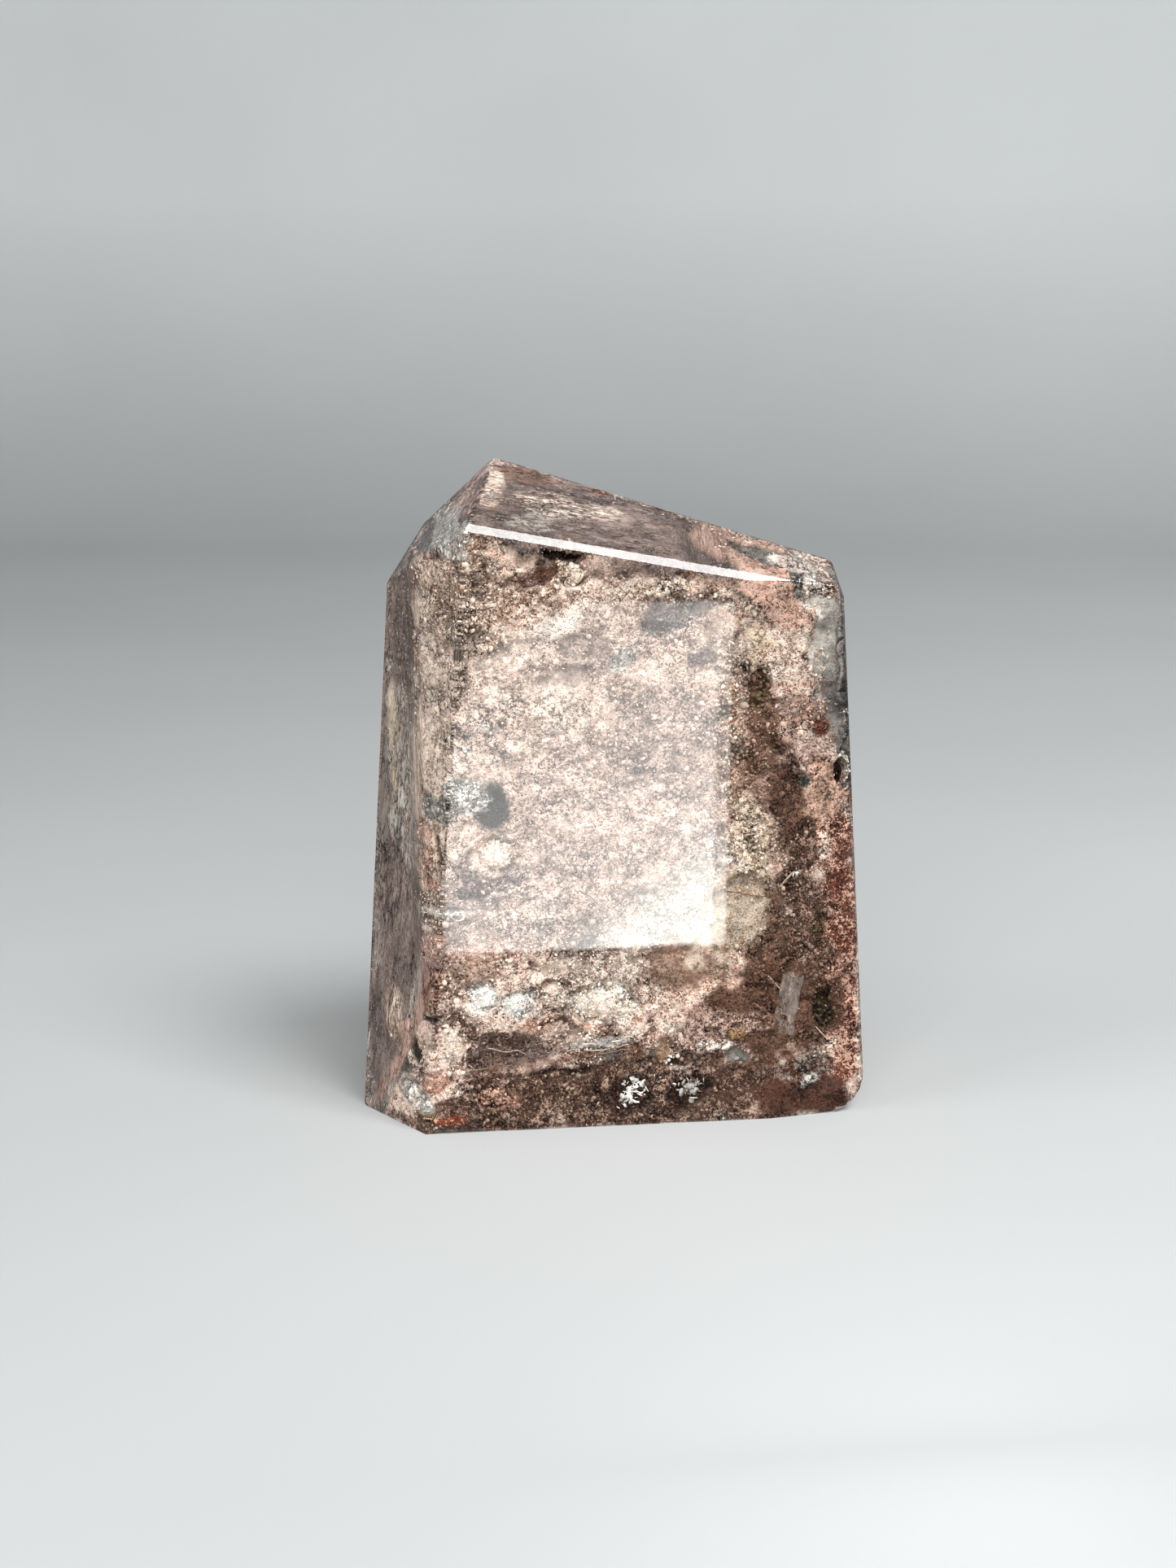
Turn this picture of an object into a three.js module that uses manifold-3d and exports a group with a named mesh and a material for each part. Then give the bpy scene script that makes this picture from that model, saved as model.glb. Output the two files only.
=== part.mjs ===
// A polished quartz point with garden inclusions: one stone, cut flat underneath so that it stands by itself.
// Millimetres, +Z up. The stone stands on Z = 0 with its widest polished facet facing -Y.
// The origin is on the resting surface, under the middle of the stone's outline.

import * as THREE from "three";
import { ConvexGeometry } from "three/addons/geometries/ConvexGeometry.js";
import { mergeVertices } from "three/addons/utils/BufferGeometryUtils.js";
import Module from "manifold-3d";

// Side facets, named as they are met going round the stone.
// turn: the way the facet faces, in degrees anticlockwise from the front, seen from above.
// lean: how far it leans inwards as it rises, in degrees.
// reach: from the stone's upright axis to the facet's foot, in millimetres.
const SIDE_FACETS = {
  front: { turn: 0, lean: 4, reach: 17.4 },
  frontRight: { turn: 5, lean: 3.97, reach: 18.5 },
  right: { turn: 95, lean: 2.05, reach: 25.5 },
  backRight: { turn: 138, lean: 3, reach: 26 },
  back: { turn: 177, lean: 4.5, reach: 17.8 },
  backLeft: { turn: -112, lean: 1.4, reach: 22.8 },
  frontLeft: { turn: -60, lean: 6, reach: 27.2 },
};

// Points on the stone that the cap facets are cut through.
const APEX = [-11.6, 1.1, 70.6];
const FRONT_SHOULDER = [-16.0, -12.9, 64.6];
const LEFT_SHOULDER = [-23.2, -1.2, 57.9];
const RIGHT_SHOULDER = [23.6, -10.5, 58.4];

// Cap facets. slope: degrees from the horizontal. through: a point on the facet.
const CAP_FACETS = {
  topSlant: { turn: 20.5, slope: 27.5, through: FRONT_SHOULDER },
  topLeft: { turn: -85, slope: 47, through: APEX },
  topBackLeft: { turn: -150, slope: 47, through: APEX },
  topBack: { turn: 150, slope: 46.5, through: APEX },
  leftShoulder: { turn: -104, slope: 63, through: LEFT_SHOULDER },
  rightShoulder: { turn: 70, slope: 60, through: RIGHT_SHOULDER },
};

// Narrow flats polished along two edges of the front facet. width: across the flat, in millimetres.
const BEVELS = {
  browBevel: { between: ["front", "topSlant"], width: 1.0 },
  footBevel: { between: ["front", "foot"], width: 0.5 },
};

// Radii that edges and corners are rubbed to.
const EDGE_RADIUS = 0.55;
const BEVEL_CORNER_RADIUS = 0.2;
const APEX_RADIUS = 1.0;
const SOFT_CORNERS = [
  { facets: ["frontRight", "right", "foot"], radius: 0.8 },
  { facets: ["frontRight", "right", "rightShoulder"], radius: 1.5 },
  { facets: ["topSlant", "topBack", "rightShoulder"], radius: 1.2 },
];

const SMALLEST_RADIUS = 0.02;
const RADIUS_STEP = 0.8;

// The edge that is worn to a wide curve all along its length.
const WORN_EDGE = { between: ["right", "foot"], radius: 4.2 };

// Steps in each curve.
const ARC_STEPS = 6;

// Shallow flakes knocked off the ridge that runs down to the right from the apex.
// along: share of the way from the apex to the ridge's right end. size: half-lengths of the flake.
const RIDGE = ["topSlant", "topBack"];
const RIDGE_CHIPS = [
  { along: 0.37, size: [1.3, 0.9, 0.45], lift: 0.25 },
  { along: 0.44, size: [0.7, 0.6, 0.3], lift: 0.2 },
  { along: 0.74, size: [1.6, 1.1, 0.55], lift: 0.3 },
  { along: 0.82, size: [2.2, 0.9, 0.5], lift: 0.3 },
];
const CHIP_DETAIL = 2;

const STONE_COLOUR = 0x9d8279;
const STONE_ROUGHNESS = 0.05;

const TOLERANCE = 1e-6;

const radians = THREE.MathUtils.degToRad;

// The level direction that a facet faces.
function facing(turn) {
  return new THREE.Vector3(Math.sin(radians(turn)), -Math.cos(radians(turn)), 0);
}

function sideFacet(name, { turn, lean, reach }) {
  const normal = facing(turn).multiplyScalar(Math.cos(radians(lean)));
  normal.z = Math.sin(radians(lean));
  return { name, normal, offset: reach * Math.cos(radians(lean)) };
}

function capFacet(name, { turn, slope, through }) {
  const normal = facing(turn).multiplyScalar(Math.sin(radians(slope)));
  normal.z = Math.cos(radians(slope));
  return { name, normal, offset: normal.dot(new THREE.Vector3(...through)) };
}

// A flat of the given width in place of the edge between two facets, at equal angles to both.
function bevelFacet(name, { between, width }, facets) {
  const [a, b] = between.map((wanted) => facets.find((facet) => facet.name === wanted));
  const normal = a.normal.clone().add(b.normal);
  const edgeOffset = (a.offset + b.offset) / normal.length();
  const halfTurn = a.normal.angleTo(b.normal) / 2;
  return { name, normal: normal.normalize(), offset: edgeOffset - (width / 2) * Math.tan(halfTurn) };
}

// The one point whose distance along each of three normals is the given offset.
function solvePoint([a, b, c], [offsetA, offsetB, offsetC]) {
  const cross = (u, v) => new THREE.Vector3().crossVectors(u, v);
  const volume = a.dot(cross(b, c));
  if (Math.abs(volume) < TOLERANCE) return null;
  const point = cross(b, c).multiplyScalar(offsetA);
  point.addScaledVector(cross(c, a), offsetB).addScaledVector(cross(a, b), offsetC);
  return point.divideScalar(volume);
}

// The point that lies the same distance, inset, inside each of three facets.
function meetingPoint(three, inset = 0) {
  return solvePoint(three.map(({ normal }) => normal), three.map(({ offset }) => offset - inset));
}

const hasAll = (three, names) => names.every((name) => three.some((facet) => facet.name === name));

// The radius of the ball that rounds off the corner of three facets.
function cornerRadius(three) {
  const soft = SOFT_CORNERS.find(({ facets }) => hasAll(three, facets));
  if (soft) return soft.radius;
  if (three.some(({ name }) => name in BEVELS)) return BEVEL_CORNER_RADIUS;
  return three.every(({ name }) => name in CAP_FACETS) ? APEX_RADIUS : EDGE_RADIUS;
}

// The ball that touches three facets from inside without passing through any other facet.
// Where its full radius finds no room, the ball is made smaller. Three facets that share no corner give null.
function cornerBall(three, facets) {
  const others = facets.filter((facet) => !three.includes(facet));
  for (let radius = cornerRadius(three); radius > SMALLEST_RADIUS; radius *= RADIUS_STEP) {
    const centre = meetingPoint(three, radius);
    if (!centre) return null;
    const room = ({ normal, offset }) => offset - normal.dot(centre) - radius;
    if (others.every((facet) => room(facet) > -TOLERANCE)) return { three, radius, centre };
  }
  return null;
}

// Every corner of the stone, as three facets and the ball that rounds them off.
function cornersOf(facets) {
  const corners = [];
  for (let i = 0; i < facets.length; i++) {
    for (let j = i + 1; j < facets.length; j++) {
      for (let k = j + 1; k < facets.length; k++) {
        corners.push(cornerBall([facets[i], facets[j], facets[k]], facets));
      }
    }
  }
  return corners.filter((corner) => corner !== null);
}

// The way a facet faces, measured within the plane of another facet.
function facingWithin(normal, plane) {
  return normal.clone().addScaledVector(plane, -normal.dot(plane)).normalize();
}

// Where the ball of a corner rolls: one place, or an arc round the end of the worn edge.
function ballCentres({ three, radius, centre }) {
  if (!hasAll(three, WORN_EDGE.between)) return [centre];
  const end = three.find(({ name }) => !WORN_EDGE.between.includes(name)).normal;
  const [from, to] = WORN_EDGE.between.map((wanted) =>
    facingWithin(three.find(({ name }) => name === wanted).normal, end),
  );
  const bend = WORN_EDGE.radius - radius;
  const hub = solvePoint([from, to, end], [-bend, -bend, 0]).add(centre);
  return Array.from({ length: ARC_STEPS + 1 }, (_, step) => {
    const outward = from.clone().multiplyScalar(ARC_STEPS - step).addScaledVector(to, step).normalize();
    return hub.clone().addScaledVector(outward, bend);
  });
}

// Points on the balls that round off one corner, between the three directions that its facets face.
function cornerPoints(corner) {
  const [a, b, c] = corner.three.map(({ normal }) => normal);
  const outward = [];
  for (let i = 0; i <= ARC_STEPS; i++) {
    for (let j = 0; j <= ARC_STEPS - i; j++) {
      const direction = a.clone().multiplyScalar(i).addScaledVector(b, j);
      outward.push(direction.addScaledVector(c, ARC_STEPS - i - j).normalize());
    }
  }
  return ballCentres(corner).flatMap((centre) =>
    outward.map((direction) => centre.clone().addScaledVector(direction, corner.radius)),
  );
}

function stoneFacets() {
  const facets = [
    { name: "foot", normal: new THREE.Vector3(0, 0, -1), offset: 0 },
    ...Object.entries(SIDE_FACETS).map(([name, size]) => sideFacet(name, size)),
    ...Object.entries(CAP_FACETS).map(([name, size]) => capFacet(name, size)),
  ];
  const bevels = Object.entries(BEVELS).map(([name, size]) => bevelFacet(name, size, facets));
  return [...facets, ...bevels];
}

const wasm = await Module();
wasm.setup();

function solidFrom(geometry) {
  const bare = geometry.clone();
  bare.deleteAttribute("normal");
  bare.deleteAttribute("uv");
  const merged = mergeVertices(bare);
  return new wasm.Manifold(
    new wasm.Mesh({
      numProp: 3,
      vertProperties: new Float32Array(merged.attributes.position.array),
      triVerts: new Uint32Array(merged.index.array),
    }),
  );
}

function geometryFrom(solid) {
  const mesh = solid.getMesh();
  const geometry = new THREE.BufferGeometry();
  geometry.setAttribute("position", new THREE.BufferAttribute(new Float32Array(mesh.vertProperties), 3));
  geometry.setIndex(new THREE.BufferAttribute(new Uint32Array(mesh.triVerts), 1));
  geometry.computeVertexNormals();
  return geometry;
}

// The two ends of the edge between two facets, the left one first.
function edgeBetween(corners, names) {
  const shared = corners.filter(({ three }) => hasAll(three, names));
  const points = shared.map(({ three }) => meetingPoint(three)).sort((a, b) => a.x - b.x);
  return [points[0], points.at(-1)];
}

// A lens-shaped cutter lying along the ridge.
function chipCutter({ along, size, lift }, start, end) {
  const direction = end.clone().sub(start).normalize();
  const lens = new THREE.IcosahedronGeometry(1, CHIP_DETAIL);
  lens.scale(...size);
  lens.applyQuaternion(new THREE.Quaternion().setFromUnitVectors(new THREE.Vector3(1, 0, 0), direction));
  const centre = start.clone().lerp(end, along);
  lens.translate(centre.x, centre.y, centre.z + lift);
  return solidFrom(lens);
}

function stoneGeometry() {
  const facets = stoneFacets();
  const corners = cornersOf(facets);
  let stone = solidFrom(new ConvexGeometry(corners.flatMap(cornerPoints)));
  const [ridgeStart, ridgeEnd] = edgeBetween(corners, RIDGE);
  for (const chip of RIDGE_CHIPS) stone = stone.subtract(chipCutter(chip, ridgeStart, ridgeEnd));
  return geometryFrom(stone);
}

function makeCrystal() {
  const material = new THREE.MeshStandardMaterial({
    color: STONE_COLOUR,
    roughness: STONE_ROUGHNESS,
    metalness: 0,
  });
  const crystal = new THREE.Mesh(stoneGeometry(), material);
  crystal.name = "crystal";
  crystal.geometry.computeBoundingBox();
  const middle = crystal.geometry.boundingBox.getCenter(new THREE.Vector3());
  crystal.position.set(-middle.x, -middle.y, 0);
  return crystal;
}

const part = new THREE.Group();
part.name = "garden_quartz_point";
part.add(makeCrystal());

export default part;
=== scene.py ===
"""Lodolite quartz point: clear polished quartz around beds of sandy mineral inclusions.

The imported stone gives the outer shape, and the clear quartz keeps it. Inside it lies a bed of sand with hollows
and crusts, and over the bed lie loose grains, clumps, flakes, veils, a slab and a needle. Sizes are in millimetres
in the stone's frame, and become metres where a mesh is made. The front is the wide facet, towards -Y.
"""

from __future__ import annotations

import logging
import math
from collections.abc import Iterable, Sequence
from dataclasses import dataclass, replace
from enum import Enum

import bmesh
import bpy
import numpy as np
from mathutils import Matrix, Vector

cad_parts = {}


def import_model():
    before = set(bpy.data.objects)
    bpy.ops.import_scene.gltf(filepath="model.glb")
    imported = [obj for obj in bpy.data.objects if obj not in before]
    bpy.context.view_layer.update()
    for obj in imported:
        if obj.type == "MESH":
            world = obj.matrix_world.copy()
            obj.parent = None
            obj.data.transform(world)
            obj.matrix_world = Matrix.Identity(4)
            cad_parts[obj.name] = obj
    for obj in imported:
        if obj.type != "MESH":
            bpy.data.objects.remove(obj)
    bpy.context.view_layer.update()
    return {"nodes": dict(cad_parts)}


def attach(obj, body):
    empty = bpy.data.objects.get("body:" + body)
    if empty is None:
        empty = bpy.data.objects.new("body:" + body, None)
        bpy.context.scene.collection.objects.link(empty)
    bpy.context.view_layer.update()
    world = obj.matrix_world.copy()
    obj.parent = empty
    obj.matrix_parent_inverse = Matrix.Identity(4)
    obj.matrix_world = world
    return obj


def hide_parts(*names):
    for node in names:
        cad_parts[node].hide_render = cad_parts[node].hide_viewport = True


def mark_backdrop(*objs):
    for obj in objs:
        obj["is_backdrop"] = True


log = logging.getLogger("garden_quartz")

MM = 0.001
STONE_BODY = "root"
STONE_NODE = "crystal"


class Mineral(Enum):
    """Colours of the minerals in the stone, as sRGB numbers."""

    CREAM = (236, 219, 203)
    WHITE = (246, 245, 238)
    SAND = (194, 176, 164)
    BLUSH = (206, 178, 165)
    SALMON = (212, 172, 152)
    APRICOT = (226, 178, 136)
    STRAW = (218, 198, 170)
    TAN = (164, 138, 120)
    TOPSAND = (154, 139, 130)
    BROWN = (116, 86, 70)
    # painted shade: the near-black of deep hollows, not a mineral's own colour
    CAVITY_SHADE = (30, 19, 14)
    REDDISH = (108, 66, 52)
    RUST = (134, 72, 50)
    ROSE_GREY = (150, 122, 112)
    MAUVE = (116, 100, 97)
    DUSK = (80, 58, 48)
    GREY = (140, 138, 132)
    SMOKE = (106, 90, 76)
    SAGE = (150, 150, 140)
    CHLORITE = (52, 62, 56)
    MOSS = (46, 50, 42)
    OLIVE = (78, 68, 44)
    HONEY = (140, 114, 88)
    AMBER = (182, 146, 100)
    MILKY = (190, 176, 160)
    MAROON = (92, 58, 46)
    UMBER = (124, 100, 86)
    PETAL = (230, 206, 192)
    PEARL = (196, 191, 183)

    @property
    def light(self) -> tuple[float, float, float]:
        """The colour in linear light."""
        return tuple(
            ((c / 255 + 0.055) / 1.055) ** 2.4 if c > 10 else c / 255 / 12.92
            for c in self.value
        )


def smooth_step(value: np.ndarray) -> np.ndarray:
    """Rises smoothly from 0 to 1 as value goes from 0 to 1."""
    held = np.clip(value, 0.0, 1.0)
    return held * held * (3.0 - 2.0 * held)


class LatticeNoise:
    """A smooth random field, between about -1 and 1, that is the same on every run."""

    SIDE = 32

    def __init__(self, seed: int) -> None:
        """Draws the lattice's values.

        Args:
            seed: number that picks the field.
        """
        draw = np.random.default_rng(seed)
        self.values = draw.uniform(-1.0, 1.0, (self.SIDE,) * 3)

    def at(self, points: np.ndarray, size: float) -> np.ndarray:
        """Reads the field.

        Args:
            points: places in mm, one a row.
            size: width in mm of the field's swells.

        Returns:
            One value a point.
        """
        scaled = points / size
        base = np.floor(scaled).astype(int)
        part = scaled - base
        part = part * part * (3.0 - 2.0 * part)
        total = np.zeros(len(points))
        for corner in np.ndindex(2, 2, 2):
            cube = (base + corner) % self.SIDE
            share = np.where(np.array(corner) == 1, part, 1.0 - part).prod(axis=1)
            total += share * self.values[cube[:, 0], cube[:, 1], cube[:, 2]]
        return total

    def layered(self, points: np.ndarray, size: float, layers: int = 4) -> np.ndarray:
        """Adds finer and fainter layers of the field.

        Args:
            points: places in mm, one a row.
            size: width in mm of the widest swells.
            layers: how many layers, each half as wide as the one before.

        Returns:
            One value a point.
        """
        total = np.zeros(len(points))
        for layer in range(layers):
            shifted = points + 7.3 * layer
            total += self.at(shifted, size / 2**layer) / 2**layer
        return total


class GrainCells:
    """Grain middles strewn at random, one to a cube of a repeating lattice."""

    SIDE = 32

    def __init__(self, seed: int) -> None:
        """Draws the middles.

        Args:
            seed: number that picks the pattern.
        """
        draw = np.random.default_rng(seed)
        self.middles = draw.uniform(0.1, 0.9, (self.SIDE,) * 3 + (3,))

    def domes(self, points: np.ndarray, size: float) -> np.ndarray:
        """Height of round lumps packed side by side.

        Args:
            points: places in mm, one a row.
            size: width in mm of a lump.

        Returns:
            1 at a lump's top, 0 in the seams between lumps.
        """
        scaled = points / size
        base = np.floor(scaled).astype(int)
        nearest = np.full(len(points), 9.0)
        for step in np.ndindex(3, 3, 3):
            cube = base + np.array(step) - 1
            kept = cube % self.SIDE
            middle = cube + self.middles[kept[:, 0], kept[:, 1], kept[:, 2]]
            nearest = np.minimum(nearest, ((scaled - middle) ** 2).sum(axis=1))
        return np.clip(1.0 - nearest / 0.64, 0.0, 1.0)


@dataclass(frozen=True)
class Zone:
    """A patch of one kind of inclusion, listed as seen straight from the front.

    Attributes:
        across: middle along X in mm.
        up: middle along Z in mm.
        wide: half width in mm.
        tall: half height in mm.
        tilt: degrees that its right end is turned down.
        ground: colour of most of it.
        fleck: colour of its flecks.
        share: share of it that is flecks.
        depth: how far in mm it lies below the polish.
        lumps: how lumpy it is, 1 for a usual crust.
    """

    across: float
    up: float
    wide: float
    tall: float
    tilt: float
    ground: Mineral
    fleck: Mineral
    share: float
    depth: float
    lumps: float

    @property
    def is_clump(self) -> bool:
        """Whether a clump of its own stands here."""
        return self.lumps >= 1.5

    @property
    def turn(self) -> int:
        """When it is laid: crusts first, then the beds behind clumps, then open hollows."""
        return 2 if self.ground is Mineral.CAVITY_SHADE else int(self.is_clump)

    def hollow(self) -> Zone:
        """The bed behind a clump that stands here, with painted shade, dark umber, round the lumpiest."""
        # painted shade: umber behind the lumpiest clumps
        behind = Mineral.UMBER if self.lumps > 1.7 else self.fleck
        return replace(self, wide=self.wide * 1.08, tall=self.tall * 1.08, ground=behind, fleck=self.ground,
                       share=0.3, depth=self.depth + 1.4, lumps=0.8)

    def cover(self, across: np.ndarray, up: np.ndarray, ragged: np.ndarray) -> np.ndarray:
        """How far the zone covers each point.

        Args:
            across: X of the points in mm.
            up: Z of the points in mm.
            ragged: noise that makes the rim uneven.

        Returns:
            A share from 0 to 1 for each point.
        """
        turn = math.radians(self.tilt)
        right, above = across - self.across, up - self.up
        along = right * math.cos(turn) - above * math.sin(turn)
        over = right * math.sin(turn) + above * math.cos(turn)
        away = np.hypot(along / self.wide, over / self.tall) + 0.45 * ragged
        return smooth_step((1.2 - away) / 0.4)


@dataclass(frozen=True)
class Bedding:
    """A kind of bed that fills part of the stone on every side, where its own noise is high.

    Attributes:
        seed: number that picks the noise.
        size: width in mm of its patches.
        level: noise above which the bed lies.
        ground: colour of most of it.
        fleck: colour of its flecks.
        share: share of it that is flecks.
        depth: how far in mm it lies below the polish.
        lumps: how lumpy it is.
    """

    seed: int
    size: float
    level: float
    ground: Mineral
    fleck: Mineral
    share: float
    depth: float
    lumps: float

    def cover(self, points: np.ndarray) -> np.ndarray:
        """How far the bed covers each point, as a share from 0 to 1."""
        noise = LatticeNoise(self.seed).layered(points, self.size, 5)
        return smooth_step((noise - self.level) / 0.16)


@dataclass(frozen=True)
class Window:
    """A clear pocket at the stone's edge, where the bed lies deep on every side.

    Attributes:
        middle: its middle in mm.
        reach: its half sizes in mm.
        ground: colour of most of the bed behind it.
        fleck: colour of that bed's flecks.
        share: share of that bed that is flecks.
        depth: how far in mm the bed lies below the polish.
        lumps: how lumpy the bed is there.
    """

    middle: tuple[float, float, float]
    reach: tuple[float, float, float]
    ground: Mineral
    fleck: Mineral
    share: float
    depth: float
    lumps: float

    def cover(self, points: np.ndarray, ragged: np.ndarray) -> np.ndarray:
        """How far the pocket covers each point, as a share from 0 to 1."""
        away = np.linalg.norm((points - self.middle) / np.array(self.reach), axis=1)
        return smooth_step((1.1 - away - 0.3 * ragged) / 0.35)


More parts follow.
